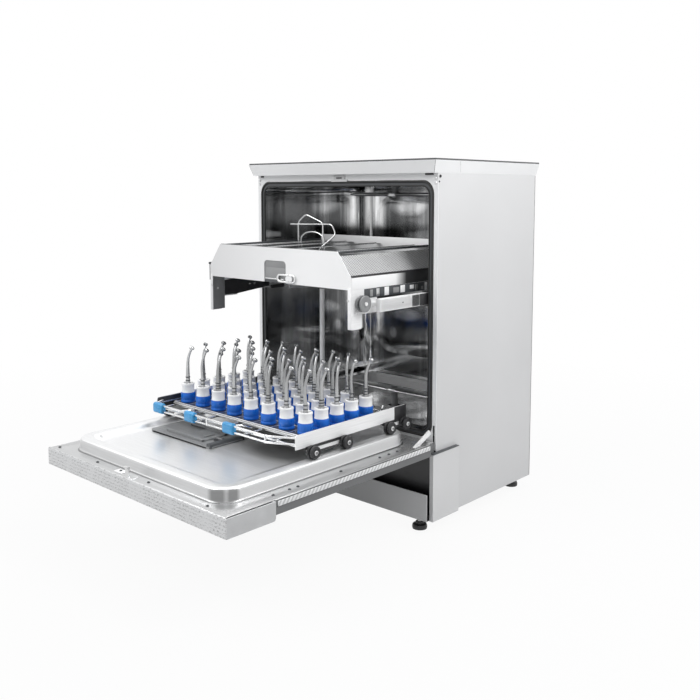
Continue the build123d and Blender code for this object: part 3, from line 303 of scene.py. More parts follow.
WHITE = enamel("white_enamel", (0.86, 0.865, 0.87), 0.34)
CASE = enamel("case_enamel", (0.64, 0.642, 0.646), 0.42)
WING = enamel("wing_enamel", (0.66, 0.662, 0.666), 0.36)
GREY = enamel("grey_enamel", (0.15, 0.153, 0.156), 0.5)
KICK = enamel("kick_enamel", (0.62, 0.623, 0.626), 0.5)
STEEL = brushed("satin_steel", (0.68, 0.685, 0.69))
# Upper basket steel, darker towards the left: painted shade
PLATE = fading(
    "plate_steel", (0.72, 0.722, 0.726), (0.94, 0.942, 0.945), "X", -0.22, 0.12, 0.42, metallic=0.25
)
PLATE_Y = brushed("plate_steel_long", (0.90, 0.902, 0.905), "y", 0.44, metallic=0.25)
# Door sheet steel with the painted dark reflections
LINER = dished("liner_steel", (0.80, 0.804, 0.808), PAINTED_REFLECTIONS)
# Outer wall of the door sheet: a darker copy of its steel with dark bands at the corner, all painted
# reflection
LINER_WALL = dished("liner_wall_reflection_steel", (0.62, 0.624, 0.628), PAINTED_CORNER_BANDS)
# Flat edge of the door sheet in a darker copy of its steel: painted shade
FLANGE = brushed("flange_shaded_steel", (0.58, 0.584, 0.588), edge=0, wobble=0.012, metallic=0.8)
# Dark ring at the base of the door sheet's rim: painted shadow
RIM_SHADE = brushed("rim_shade_steel", (0.24, 0.243, 0.246), roughness=0.28, edge=0, metallic=0.9)
STRIP = speckled("strip_steel", (0.66, 0.665, 0.67))
RIBS = hatched("ribbed_strip", (0.80, 0.805, 0.81), 0.027)
# Chamber steel with painted reflection streaks and painted highlights
TUB = mirror_wall("tub_steel", (0.30, 0.303, 0.306), (0.90, 0.902, 0.905))
WIRE = polished("wire_steel", (0.74, 0.745, 0.75), 0.16, 0.1, 30)
CHROME = polished("instrument_steel", (0.40, 0.405, 0.41), 0.14, 0.05, 60, 0.8, 1.3)
PERF = perforated("perforated_steel", (0.66, 0.665, 0.67), floor=0.16)
PERF_DARK = perforated("shaded_perforation", (0.48, 0.485, 0.49), floor=0.1)
TRAY = brushed("tray_steel", (0.13, 0.132, 0.136), roughness=0.34, metallic=0.6)
# Trough wall of the chamber as near-white diffuse steel: a painted bright reflection
TROUGH = brushed("trough_lit_steel", (0.97, 0.972, 0.974), edge=0, metallic=0.0)
# Side bands, light at the front and near black farther into the chamber: painted shade
BAND = fading("band_shaded_steel", (0.93, 0.932, 0.935), (0.035, 0.036, 0.038), "Y", 0.022, 0.058, 0.35)
SHADED = moulded("shaded_steel", (0.27, 0.272, 0.275), 0.45)
BLACK = moulded("black_plastic", (0.022, 0.022, 0.024), 0.42)
DARK = moulded("dark_edge", (0.06, 0.065, 0.07), 0.4)
LAMINATE = moulded("lid_laminate", (0.075, 0.078, 0.082), 0.36, 0.06, 0.0003)
RUBBER = moulded("gasket_rubber", (0.018, 0.018, 0.018), 0.62, 0.25)
GREY_PLASTIC = moulded("grey_plastic", (0.24, 0.245, 0.25), 0.42)
PALE_PLASTIC = moulded("pale_plastic", (0.54, 0.545, 0.55), 0.42)
WHITE_PLASTIC = moulded("white_plastic", (0.93, 0.932, 0.935), 0.3)
BLUE = moulded("blue_plastic", (0.010, 0.155, 0.66), 0.3)
PALE_BLUE = moulded("pale_blue_plastic", (0.05, 0.30, 0.60), 0.3)
CASTING = brushed("cast_metal", (0.52, 0.53, 0.54), "z", 0.5)
BOARD = moulded("circuit_board", (0.02, 0.16, 0.07), 0.4)
WINDOW = moulded("smoked_window", (0.015, 0.016, 0.018), 0.12, 0.02)

# Material of each CAD node's own mesh
NODE_MATERIALS = (
    (WHITE, "lid front_frame"), (LAMINATE, "lid_cap"), (CASE, "side_panels rear_panel"),
    (WING, "side_wings"), (KICK, "kick_plate"), (GREY, "door_panel"), (TUB, "tub"),
    (LINER, "door_liner"), (STRIP, "control_strip"), (WINDOW, "display_window"),
    (BOARD, "control_board"), (RUBBER, "door_gasket"), (CASTING, "circulation_pump"),
    (STEEL, "heater hinge_brackets lock_bolt lower_spray_arm ceiling_spray_arm latch_hook"),
    (GREY_PLASTIC, "sump drain_pump riser_duct water_inlet drain_spigot dispenser dispenser_cover"),
    (GREY_PLASTIC, "guide_wheels"), (PALE_PLASTIC, "filter_cup fascia"),
    (WHITE_PLASTIC, "softener feed_mast sleeve_caps"), (BLUE, "sleeve_bases"),
    (PALE_BLUE, "lower_clips"), (CHROME, "handpieces"), (TRAY, "socket_tray"),
    (PLATE, "upper_front_plate"), (PLATE_Y, "hinge_arms lower_side_plates upper_frame upper_rails"),
    (PERF, "upper_mesh"), (WIRE, "lower_wires basket_latch wire_insert"),
    (BLACK, "base_pan feet lock_housing rail_guides cable_gland power_button start_button"),
    (BLACK, "rinse_cap upper_spray_arm"),
    (BLACK, "lower_wheels_1 lower_wheels_2 lower_wheels_3 lower_wheels_4"),
)
for material, names in NODE_MATERIALS:
    for name in names.split():
        mesh = nodes[name].data
        mesh.materials.clear()
        mesh.materials.append(material)


# Tools for building pieces, in millimetres

def link(o):
    bpy.context.scene.collection.objects.link(o)
    return o


def rounded_rectangle(half, y0, y1, radius, steps=8):
    """Points round a rectangle from -half to half and y0 to y1, with round corners."""
    radius = max(0.01, min(radius, half - 0.01, (y1 - y0) / 2 - 0.01))
    points = []
    arcs = (
        (half - radius, y1 - radius, 0), (-half + radius, y1 - radius, 90),
        (-half + radius, y0 + radius, 180), (half - radius, y0 + radius, 270),
    )
    for cx, cy, start in arcs:
        for k in range(steps + 1):
            a = radians(start + 90 * k / steps)
            points.append((cx + radius * cos(a), cy + radius * sin(a)))
    return points


def bent(points, corner, steps=5):
    """A line of points whose inner corners are rounded."""
    line = [Vector(p) for p in points]
    out = [line[0]]
    for before, here, after in zip(line, line[1:], line[2:]):
        a = here + (before - here).normalized() * min(corner, (before - here).length * 0.45)
        b = here + (after - here).normalized() * min(corner, (after - here).length * 0.45)
        for k in range(steps + 1):
            t = k / steps
            out.append(a * (1 - t) ** 2 + here * 2 * t * (1 - t) + b * t * t)
    out.append(line[-1])
    return out


class Piece:
    """A mesh drawn part by part before it becomes one object."""

    def __init__(self, *materials):
        self.bm = bmesh.new()
        self.materials = materials

    def skin(self, rings, m=0, wrap=True, caps=(False, False)):
        """Joins rings of points, which all have the same count, into a skin."""
        rows = [[self.bm.verts.new(p) for p in ring] for ring in rings]
        for low, high in zip(rows, rows[1:]):
            n = len(low)
            for k in range(n if wrap else n - 1):
                j = (k + 1) % n
                self.bm.faces.new((low[k], low[j], high[j], high[k])).material_index = m
        for row, wanted in ((rows[0][::-1], caps[0]), (rows[-1], caps[1])):
            if wanted:
                self.bm.faces.new(row).material_index = m

    def lathe(self, place, profile, m=0, axis=(0, 0, 1), steps=24, closed=True):
        """Turns a profile of (radius, height) pairs about an axis through a place."""
        turn = Vector(axis).normalized().to_track_quat("Z", "X").to_matrix()
        rings = []
        for radius, height in profile:
            radius = max(radius, 0.01)
            ring = []
            for k in range(steps):
                a = 2 * pi * k / steps
                ring.append(Vector(place) + turn @ Vector((radius * cos(a), radius * sin(a), height)))
            rings.append(ring)
        self.skin(rings, m, True, (closed, closed))

    def tube(self, path, radius, m=0, steps=10):
        """Sweeps a round section along a path. The radius may be one number or one per point."""
        path = [Vector(p) for p in path]
        radii = [radius] * len(path) if isinstance(radius, (int, float)) else radius
        ahead = (path[1] - path[0]).normalized()
        side = ahead.orthogonal().normalized()
        rings = []
        for k, point in enumerate(path):
            before = path[max(0, k - 1)]
            after = path[min(len(path) - 1, k + 1)]
            tangent = (after - before).normalized()
            side = (side - tangent * side.dot(tangent)).normalized()
            up = tangent.cross(side)
            ring = []
            for j in range(steps):
                a = 2 * pi * j / steps
                ring.append(point + side * radii[k] * cos(a) + up * radii[k] * sin(a))
            rings.append(ring)
        self.skin(rings, m, True, (True, True))

    def crate(self, low, high, m=0, edge=0.0, steps=2):
        """Box between two corners with softened edges."""
        made = bmesh.ops.create_cube(self.bm, size=1.0)["verts"]
        size = [abs(b - a) for a, b in zip(low, high)]
        centre = [(a + b) / 2 for a, b in zip(low, high)]
        for v in made:
            v.co = Vector([c * s + o for c, s, o in zip(v.co, size, centre)])
        for face in {f for v in made for f in v.link_faces}:
            face.material_index = m
        if edge:
            edges = list(dict.fromkeys(e for v in made for e in v.link_edges))
            bmesh.ops.bevel(
                self.bm, geom=edges, offset=edge, segments=steps, profile=0.5, affect="EDGES", material=-1
            )

    def plate(self, points, offset, m=0):
        """Flat outline of points pushed along an offset into a slab."""
        far = [Vector(p) + Vector(offset) for p in points]
        self.skin([points, far], m, True, (True, True))

    def screw(self, place, axis, radius=3.2, m=0):
        """Pan head with a socket."""
        shape = ((1, 0), (1, 0.35), (0.82, 0.6), (0.42, 0.62), (0.38, 0.25))
        self.lathe(place, [(radius * r, radius * h) for r, h in shape], m, axis, 14)

    def put(self, name, body, *replaced, slot=None, sharp=38):
        """Turns the mesh into an object that rides on a body and stands for the replaced nodes."""
        bmesh.ops.recalc_face_normals(self.bm, faces=self.bm.faces)
        for v in self.bm.verts:
            v.co *= 0.001
        mesh = bpy.data.meshes.new(name)
        self.bm.to_mesh(mesh)
        self.bm.free()
        for material in self.materials:
            mesh.materials.append(material)
        mesh.polygons.foreach_set("use_smooth", [True] * len(mesh.polygons))
        mesh.set_sharp_from_angle(angle=radians(sharp))
        o = link(bpy.data.objects.new(name, mesh))
        if replaced:
            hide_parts(*replaced)
        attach(o, body)


def corners(node):
    """Lowest and highest corner of a CAD node."""
    return [[round(1000 * v, 1) for v in corner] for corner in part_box(node)]


def middle(node):
    """Centre of a CAD node's box."""
    low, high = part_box(node)
    return [round(500 * (a + b), 1) for a, b in zip(low, high)]


sides = (-1, 1)
UP = (0, 0, 1)

# Room between a skin and the sheet under it
CLEAR = 0.2

# Main sizes and places: read from the solids, or the CAD's own numbers
HALF_LID = corners("lid")[1][0]
(_, BODY_FRONT, _), (HALF_BODY, _, _) = corners("front_frame")
BACK = corners("rear_panel")[1][1]
(_, _, STRIP_LOW), (_, DOOR_END, DOOR_TOP) = corners("control_strip")
FLANGE_EDGE, LINER_END, RIM_TOP = corners("door_liner")[1]
(_, _, SEAL_LOW), (HALF_SEAL, _, SEAL_HIGH) = corners("door_gasket")
TUB_SHEET = 1.2
TUB_BACK = round(corners("tub")[1][1] - TUB_SHEET, 1)
HALF_TUB = 272
TUB_CORNER = 36
HALF_TROUGH = 222
TROUGH_FRONT = 127.5
TROUGH_BACK = 478
TROUGH_CORNER = 24
HALF_LINER = 262
RIM_FAR = -496
RIM_NEAR = 40


# Chamber

def pressed_field(piece, half, low, high, proud=3.0, radius=60):
    """Adds a shallow field with soft shoulders, pressed into the chamber's rear wall."""
    rings = []
    for share, height in ((0, 0.0), (0.1, 0.1), (0.25, 0.42), (0.5, 0.8), (0.75, 0.96), (1, 1.0)):
        inset = 46 * share
        outline = rounded_rectangle(half - inset, low + inset, high - inset, radius - 30 * share, 6)
        rings.append([(x, TUB_BACK - CLEAR - proud * height, z) for x, z in outline])
    piece.skin(rings, 0, True, (False, True))


pressings = Piece(TUB)
pressed_field(pressings, 226, 575, 765)
pressed_field(pressings, 226, 300, 500)
CORNER_STEPS = 12
for side in sides:
    for low, high in ((262, 514), (558, 797.6)):
        rings = []
        for z in (low, (low + high) / 2, high):
            ring = []
            for k in range(CORNER_STEPS + 1):
                a = radians(90 * k / CORNER_STEPS)
                x = HALF_TUB - TUB_CORNER + (TUB_CORNER - CLEAR) * cos(a)
                y = TUB_BACK - TUB_CORNER + (TUB_CORNER - CLEAR) * sin(a)
                ring.append((side * x, y, z))
            rings.append(ring)
        pressings.skin(rings, 0, False)
pressings.put("chamber_pressings", "cabinet", slot="tub_steel")

trough = Piece(TROUGH)
rings = []
for grow, z in ((0, 206.5), (0, 228), (0, 236), (1.2, 238.2), (4, 239.4)):
    out = grow - 0.3
    outline = rounded_rectangle(
        HALF_TROUGH + out, TROUGH_FRONT - out, TROUGH_BACK + out, TROUGH_CORNER + out, 10
    )
    rings.append([(x, y, z) for x, y in outline])
trough.skin(rings)
trough.put("trough_wall", "cabinet", slot="tub_steel")


# Door

FLANGE_NEAR = LINER_END - 0.5
NOTCH_HALF = 298
NOTCH_Y = 60

# The sheet's flat edge and its rise to the rim, then the dish inside it
liner = Piece(LINER, FLANGE, RIM_SHADE, LINER_WALL)
rings = []
for inset, z in ((0, DOOR_TOP - 1.4), (0, DOOR_TOP - 0.4), (0.6, DOOR_TOP)):
    y0 = DOOR_END + 0.5 + min(inset, 0.5)
    y1 = FLANGE_NEAR - min(inset, 0.5)
    rings.append((FLANGE_EDGE - inset, y0, y1, 2, z))
for inset, radius, z in (
    (-10, 54, DOOR_TOP), (-4.5, 49.5, DOOR_TOP + 0.4), (-1.4, 46.5, 214.5), (0, 45, 218), (0.6, 44.5, 231),
    (2.4, 43, 236.6), (5.4, 40.5, 239.2), (9, 38, RIM_TOP), (23, 30, RIM_TOP), (27.5, 28, 239),
    (31.5, 27, 235.6), (34.5, 26, 231), (38.5, 25, 228), (45, 24, 226.6), (57, 22, 226.2),
    (112, 16, 226.6),
):
    rings.append((HALF_LINER - inset, RIM_FAR + inset, RIM_NEAR - inset, radius, z))
rings.append((80, -300, -150, 10, 227))
for k, (half, y0, y1, radius, z) in enumerate(rings):
    ring = [(x, y, z) for x, y in rounded_rectangle(half, y0, y1, radius, 10)]
    if k < 4:
        ring = [(max(-NOTCH_HALF, min(NOTCH_HALF, x)) if y > NOTCH_Y else x, y, z) for x, y, z in ring]
    rings[k] = ring
# Flat edge in the darker flange copy (painted shade) and a dark ring at the rim's base (painted shadow)
liner.skin(rings[:5], 1)
liner.skin(rings[4:6], 2)
# Outer wall in its darker copy of the steel: painted reflection
liner.skin(rings[5:9], 3)
liner.skin(rings[8:], 0, True, (False, True))
bmesh.ops.remove_doubles(liner.bm, verts=liner.bm.verts, dist=0.001)
liner.put("liner_pressing", "door", "door_liner", slot="liner_steel", sharp=50)

# Screws, the striker's seat and the ribbed strips along the sides
trim = Piece(STEEL, DARK, RIBS, WHITE_PLASTIC)
SCREW_ROW_Y = -511
SCREW_COLUMN_X = 284
for x in (-288, -132, 53, 237):
    trim.screw((x, SCREW_ROW_Y, DOOR_TOP), UP, 3.2, 1)
for side, column in ((1, (-394, -352, -330, -209, -88, -58, -30)), (-1, (-394, -209, -58))):
    for y in column:
        trim.screw((side * SCREW_COLUMN_X, y, DOOR_TOP), UP, 3.2, 1)
trim.crate((-58, -519, DOOR_TOP), (-30, -503, DOOR_TOP + 1.4), 3, 0.6)
trim.screw((-44, SCREW_ROW_Y, DOOR_TOP + 1.4), UP, 3.0, 1)
for side in sides:
    trim.crate((side * (HALF_LID - 2), -404, 199.5), (side * (HALF_LID - 0.6), 58, 209.8), 2, 0.5)
    trim.crate((side * 303.2, -408, 210.8), (side * 305.6, 60, DOOR_TOP + 0.6), 0, 0.5)
trim.crate((-306, DOOR_END - 0.4, 209.6), (306, DOOR_END + 1.4, DOOR_TOP + 0.8), 0, 0.5)
trim.put("door_trim", "door", slot="frame_steel")

CAP_X, CAP_Y, _ = middle("rinse_cap")

# Detergent box with the runners of its cover
detergent = Piece(GREY_PLASTIC, BLACK, STEEL, DARK)
lip = []
for grow, z, r in ((0, 225.9, 12), (0, 229.4, 12), (-1.6, 230.8, 11), (-4.5, 231.05, 9), (-8, 231.05, 8)):
    outline = rounded_rectangle(110 + grow, -328 - grow, -228 + grow, r, 6)
    lip.append([(x - 100, y, z) for x, y in outline])
detergent.skin(lip, 0, True, (False, True))
for k in range(7):
    x = -196 + 11 * k
    detergent.crate((x, -316, 230.4), (x + 5, -240, 231.2), 0, 0.3)
for side in sides:
    outer = CAP_Y + side * 35.6
    detergent.crate((-166, CAP_Y + side * 32.3, 231), (-34, outer, 236.2), 0, 0.5)
    detergent.crate((-166, CAP_Y + side * 29.2, 234.9), (-34, outer, 236.4), 0, 0.5)
detergent.crate((-4, -326, 226), (9.6, -230, 237), 3, 1.2)
detergent.lathe((CAP_X, CAP_Y, 230.9), [(16.5, 0), (16.5, 0.7), (14.4, 0.9), (14.2, 0.2)], 0, steps=32)
detergent.put("detergent_box", "door", slot="grey_plastic")

cover = Piece(GREY_PLASTIC, DARK)
rings = []
for grow, z, r in (
    (0, 231.3, 7), (0, 233.4, 7), (-1.0, 234.3, 6), (-12, 234.3, 5), (-14, 233.2, 9), (-22, 232.9, 8),
):
    outline = rounded_rectangle(36 + grow, -310 - grow, -246 + grow, r, 6)
    rings.append([(x - 70, y, z) for x, y in outline])
cover.skin(rings, 0, True, (True, True))
cover.crate((-58, -292, 232.8), (-52, -264, 236.0), 0, 1.4, 3)
cover.put("sliding_cover", "dispenser_cover", "dispenser_cover", slot="grey_plastic")

# Rinse cap with a milled edge and a grip
dosing = Piece(BLACK, GREY_PLASTIC)
dosing.lathe((CAP_X, CAP_Y, 223.3), [(13, 0), (13, 8.2), (12.3, 9.2), (7, 9.5), (6.6, 9.0)], 0, steps=36)
for k in range(18):
    a = 2 * pi * k / 18
    x = CAP_X + 12.2 * cos(a)
    y = CAP_Y + 12.2 * sin(a)
    dosing.crate((x - 0.7, y - 0.7, 229), (x + 0.7, y + 0.7, 232.6), 0, 0.3)
dosing.crate((CAP_X - 10, CAP_Y - 2.4, 232), (CAP_X + 10, CAP_Y + 2.4, 236), 1, 1.5, 3)
dosing.put("dosing_cap", "rinse_cap", "rinse_cap", slot="black_plastic")

strip = Piece(STRIP, STEEL)
rings = []
for y, inset in ((0.1, 0), (-1.2, 0), (-1.8, 0.6), (-2, 1.6)):
    outline = rounded_rectangle(HALF_LID - inset, STRIP_LOW + inset, DOOR_TOP - inset, 3, 5)
    rings.append([(x, DOOR_END + y, z) for x, z in outline])
strip.skin(rings, 0, True, (True, True))
strip.put("control_strip_sheet", "door", "control_strip", slot="strip_silver")

# Pale cheeks at both ends of the control front, with a round lower corner
end_caps = Piece(PALE_PLASTIC)
for side in sides:
    outline = [(DOOR_END + 1, 175.2), (-417, 175.2)]
    for k in range(7):
        a = radians(-90 + 90 * k / 6)
        outline.append((-417 + 5.8 * cos(a), 181 + 5.8 * sin(a)))
    outline += [(-411.2, 208.8), (-412.2, 209.8), (DOOR_END + 1, 209.8)]
    rings = [[(side * x, y, z) for y, z in outline] for x in (HALF_LID - 0.8, HALF_LID - 0.1)]
    end_caps.skin(rings, 0, True, (True, True))
end_caps.put("fascia_ends", "door", slot="light_plastic")

panel_seams = Piece(DARK)
for side in sides:
    seam = side * (HALF_LID - 1.7)
    panel_seams.tube([(seam, -406, 199.2), (seam, 59, 199.2)], 0.6, steps=6)
panel_seams.put("door_seams", "door", slot="dark_edge")


# Casing

marks = Piece(DARK, STEEL, WING, BLACK)
for side in sides:
    lid_side = side * HALF_LID
    body_side = side * HALF_BODY
    marks.tube(bent([(lid_side, 69.5, 186.2), (lid_side, 167.2, 187.0)], 1), 0.9, steps=6)
    marks.crate((body_side, 68.2, 186.2), (lid_side + side * CLEAR, 168.0, 187.6), 0, 0.4)
    marks.crate((side * 298.9, 166.9, 31), (side * 308.6, 168.2, 186), 0, 0.3)
    marks.tube([(body_side + side * CLEAR, 502.6, z) for z in (32, 816)], 0.5, steps=6)
    for z in (806, 796):
        marks.screw((side * 292, BODY_FRONT, z), (0, -1, 0), 3.2, 1)
    marks.screw((body_side, BODY_FRONT + 7, 811), (side, 0, 0), 3.4, 3)
    marks.screw((body_side, BODY_FRONT + 3.5, 799), (side, 0, 0), 2.0, 0)
    slot_x = 264 if side > 0 else 276
    marks.crate((side * slot_x, 86.5, 813.5), (side * 286, BODY_FRONT + CLEAR, 817.4), 3, 0.8)
    marks.crate((side * 308.4, 160, 820), (lid_side, 160.5, 846), 1, 0.1)
marks.crate((-27, 86.8, 800.4), (27, BODY_FRONT + CLEAR, 805.6), 2, 0.8)
marks.crate((-18, 87.2, 805.6), (18, BODY_FRONT + CLEAR, 816.4), 2, 0.8)
marks.crate((-9, 86.6, 808), (9, 87.3, 811), 3, 0.2)
marks.put("casing_marks", "cabinet", slot="dark_edge")

lid_trim = Piece(WHITE, DARK)
for side in sides:
    lid_trim.tube([(side * 308.8, 66.4, 846.3), (side * 299.2, 74.2, 818.5)], 0.45, 1, 6)
lid_trim.put("lid_mitres", "cabinet", slot="lid_paint")


def seal_ring(inset, y):
    """Points round the opening at a depth, drawn in from its edge."""
    radius = 31.5 - 0.8 * inset
    inset += CLEAR
    outline = rounded_rectangle(HALF_SEAL - inset, SEAL_LOW + inset, SEAL_HIGH - inset, radius, 8)
    return [(x, y, z) for x, z in outline]


# Two soft lips of the gasket and the dark ring behind them
lips = Piece(RUBBER, DARK)
for drop, wide, y0, y1 in ((0, 5.6, 87.4, 91.0), (10.7, 3.2, 88.6, 91.2)):
    section = ((0.04, y1), (0, y1 - 1.2), (0.25, y0), (0.7, y0), (1, y1 - 1.2), (0.96, y1))
    lips.skin([seal_ring(drop + wide * share, y) for share, y in section])
lips.skin([seal_ring(inset, y) for inset, y in ((1, 91.2), (1, 90.6), (14, 90.6), (14, 91.2))], 1)
lips.put("gasket_lips", "cabinet", "door_gasket", slot="gasket_rubber", sharp=60)

feet = Piece(BLACK, STEEL)
FOOT_RADIUS = 17.5
feet_low, feet_high = corners("feet")
for x in (feet_low[0] + FOOT_RADIUS, feet_high[0] - FOOT_RADIUS):
    for y in (feet_low[1] + FOOT_RADIUS, feet_high[1] - FOOT_RADIUS):
        profile = [(14, 0), (17, 0.8), (17.5, 3), (17.5, 8), (16, 11), (9.5, 12), (9.5, 17), (8, 17)]
        feet.lathe((x, y, 0), profile, 0, steps=28)
        for k in range(9):
            thread = [(4.3, 0), (5, 0.7), (4.3, 1.4)]
            feet.lathe((x, y, 17 + 1.4 * k), thread, 1, steps=14, closed=False)
        feet.lathe((x, y, 22), [(8.6, 0), (8.6, 5)], 1, steps=6)
feet.put("levelling_feet", "cabinet", "feet", slot="black_plastic")

# Louvres, screws and the details of the ports at the rear
back = Piece(DARK, STEEL, GREY_PLASTIC, BLACK)
outward = (0, 1, 0)
INLET_X = corners("water_inlet")[1][0] - 20
DRAIN_X = corners("drain_spigot")[1][0] - 17
GLAND_X, _, PORT_Z = middle("cable_gland")
for row in range(9):
    z = 640 + 13 * row
    for x0 in (-200, -60, 80):
        back.crate((x0, BACK, z), (x0 + 120, BACK + 1.4, z + 5), 0, 1.0)
for x in (-288, -150, 0, 150, 288):
    for z in (44, 806):
        back.screw((x, BACK, z), outward, 3.6, 1)
for z in (230, 420, 610):
    for side in sides:
        back.screw((side * 288, BACK, z), outward, 3.6, 1)
for k in range(6):
    inlet_thread = [(12.6, 0), (13.15, 1.3), (12.6, 2.6)]
    back.lathe((INLET_X, BACK + 5 + 2.6 * k, PORT_Z), inlet_thread, 2, outward, 32, False)
for k in range(3):
    drain_barb = [(9.6, 0), (10.95, 1.2), (9.6, 4.6)]
    back.lathe((DRAIN_X, BACK + 7 + 5 * k, PORT_Z), drain_barb, 2, outward, 28, False)
back.lathe((GLAND_X, BACK + 1, PORT_Z), [(14.6, 0), (14.6, 5.5)], 3, outward, 6)
back.put("rear_details", "cabinet", slot="dark_edge")


# Spray arms

def spray_arm(name, node, material, slot_name):
    """Flat pressed arm, slightly swollen along its middle, with a hub and slotted nozzles."""
    x0, y0, _ = middle(node)
    z0 = corners(node)[0][2]
    reach = corners(node)[1][0] - 0.6
    arm = Piece(material, STEEL, BLACK)
    rings = []
    count = 25
    for k in range(count):
        t = -1 + 2 * k / (count - 1)
        share = sqrt(max(0.0, 1 - abs(sin(t * pi / 2)) ** 7))
        width = (15.5 + 5 * (1 - abs(t))) * max(0.08, share)
        height = (4.6 + 0.8 * (1 - abs(t))) * max(0.2, share)
        ring = []
        for j in range(16):
            a = 2 * pi * j / 16
            out = width * abs(cos(a)) ** 0.7 * (1 if cos(a) > 0 else -1)
            up = height * abs(sin(a)) ** 0.9 * (1 if sin(a) > 0 else -1)
            ring.append((x0 + reach * sin(t * pi / 2), y0 + out, z0 + 5.5 + up))
        rings.append(ring)
    arm.skin(rings, 0, True, (True, True))
    hub = [(23, 0.4), (23.8, 2), (23.8, 9), (22, 10.6), (12, 10.9), (11, 10.9)]
    arm.lathe((x0, y0, z0), hub, 0, steps=36)
    for share in (-0.86, -0.6, -0.34, 0.34, 0.6, 0.86):
        x = x0 + share * reach
        arm.lathe((x, y0 + 5, z0 + 9.9), [(4.2, 0), (3.8, 0.9), (2.2, 1.0), (2.0, 0.2)], 1, steps=14)
        arm.crate((x - 1.8, y0 + 4.3, z0 + 10.4), (x + 1.8, y0 + 5.7, z0 + 10.98), 2, 0.2)
    arm.put(name, node, node, slot=slot_name, sharp=50)


spray_arm("lower_arm", "lower_spray_arm", STEEL, "frame_steel")
spray_arm("ceiling_arm", "ceiling_spray_arm", STEEL, "frame_steel")
spray_arm("basket_arm", "upper_spray_arm", BLACK, "black_plastic")


# Lower basket

LEFT = -218.5
RIGHT = 172.5
WIRE_RADIUS = 2.5
FRONT = corners("lower_wires")[0][1] + WIRE_RADIUS
HANDRAIL_Z = 284.5
BED_Z = 271.5
CROSS_Z = 267.5
AXLES = [middle(f"lower_wheels_{number}")[1] for number in (1, 2, 3, 4)]
AXLE_Z = middle("lower_wheels_1")[2]

# Places of the sockets, which stand in rows of eight
SOCKET_RADIUS = 17
COLUMNS = 8
ROWS = 5
sockets_low, sockets_high = corners("sleeve_bases")
FIRST_X, FIRST_Y = (v + SOCKET_RADIUS for v in sockets_low[:2])
PITCH_X = (sockets_high[0] - SOCKET_RADIUS - FIRST_X) / (COLUMNS - 1)
PITCH_Y = (sockets_high[1] - SOCKET_RADIUS - FIRST_Y) / (ROWS - 1)

# Front loop, its posts, the cross wires and the long wires of the bed
wires = Piece(WIRE)
for z in (HANDRAIL_Z, BED_Z):
    wires.tube(bent([(-232, -276, z), (LEFT, FRONT, z), (RIGHT, FRONT, z), (232, -276, z)], 14), 2.4)
for x in (LEFT + 6, -23, RIGHT - 6):
    wires.tube(bent([(x, FRONT, 269.2), (x, FRONT - 0.6, 287)], 1), 2.4)
for k in range(9):
    y = -278 + k * 326 / 8
    wires.tube(bent([(-234, y, 276), (-226, y, CROSS_Z), (226, y, CROSS_Z), (234, y, 276)], 7), 2.3)
for k in range(6):
    x = LEFT + k * (RIGHT - LEFT) / 5
    wires.tube(bent([(x, FRONT, BED_Z), (x, 50, BED_Z), (x, 54, 280)], 7), 2.3)
for x in (-120, 60):
    brace = bent([(x, FRONT, HANDRAIL_Z), (x + 12, -288, HANDRAIL_Z), (x + 12, -262, BED_Z)], 9)
    wires.tube(brace, 2.0)
wires.put("basket_wires", "basket_lower", "lower_wires", slot="basket_steel")

clips = Piece(PALE_BLUE)
for x in (-200, -82, 52):
    rings = []
    for inset, dx in ((1.4, -16), (0.4, -15.3), (0, -14), (0, 14), (0.4, 15.3), (1.4, 16)):
        outline = rounded_rectangle(6.8 - inset, 265.9 + inset, 290.1 - inset, 5.5, 5)
        rings.append([(x + dx, FRONT + y, z) for y, z in outline])
    clips.skin(rings, 0, True, (True, True))
    clips.crate((x - 10, FRONT - 7.2, 276), (x + 10, FRONT - 6.2, 280), 0, 0.4)
clips.put("wire_clips", "basket_lower", "lower_clips", slot="light_blue")


def roller(number, y):
    """Twin tyres on a hub at each side of one axle, with small bosses on the outer face."""
    wheel = Piece(BLACK, WHITE_PLASTIC)
    tyre = [
        (3.06, 0.4), (9, 0.2), (11.5, 0), (13, 0.6), (13.5, 2), (13.5, 5), (13, 6.4), (11.5, 7),
        (9.5, 6.8), (9, 5.8), (3.06, 5.8),
    ]
    for side in sides:
        axis = (side, 0, 0)
        for x in (238, 248):
            wheel.lathe((side * x, y, AXLE_Z), tyre, 0, axis, 36)
        wheel.lathe((side * 244, y, AXLE_Z), [(3.06, 0), (7.5, 0), (7.5, 5), (3.06, 5)], 0, axis, 24)
        for k in range(5):
            a = 2 * pi * k / 5 + 0.3
            boss = (side * 253.6, y + 6.3 * cos(a), AXLE_Z + 6.3 * sin(a))
            wheel.lathe(boss, [(1.5, 0), (1.5, 0.7)], 0, axis, 10)
    node = f"lower_wheels_{number}"
    wheel.put(f"roller_{number}", node, node, slot="black_plastic")


for number, y in enumerate(AXLES, start=1):
    roller(number, y)

axle_caps = Piece(WHITE_PLASTIC, BLACK)
for side in sides:
    for y in AXLES:
        cap = [(3.0, 0), (4.6, 1.0), (4.8, 2.2), (3.4, 2.8)]
        axle_caps.lathe((side * 253.2, y, AXLE_Z), cap, 0, (side, 0, 0), 20)
    for y0, y1 in ((-262, -140), (-22, 56)):
        axle_caps.crate((side * 234.6, y0, 258), (side * 236.6, y1, 265), 1, 1.5, 3)
        axle_caps.tube([(side * 246.5, y, AXLE_Z) for y in (y0 + 22, y1 - 22)], 2.0, 1, 8)
    axle_caps.crate((side * 231.5, 18, 262), (side * 237, 59.5, 293.2), 1, 1.2)
axle_caps.put("axle_fittings", "basket_lower", slot="black_plastic")

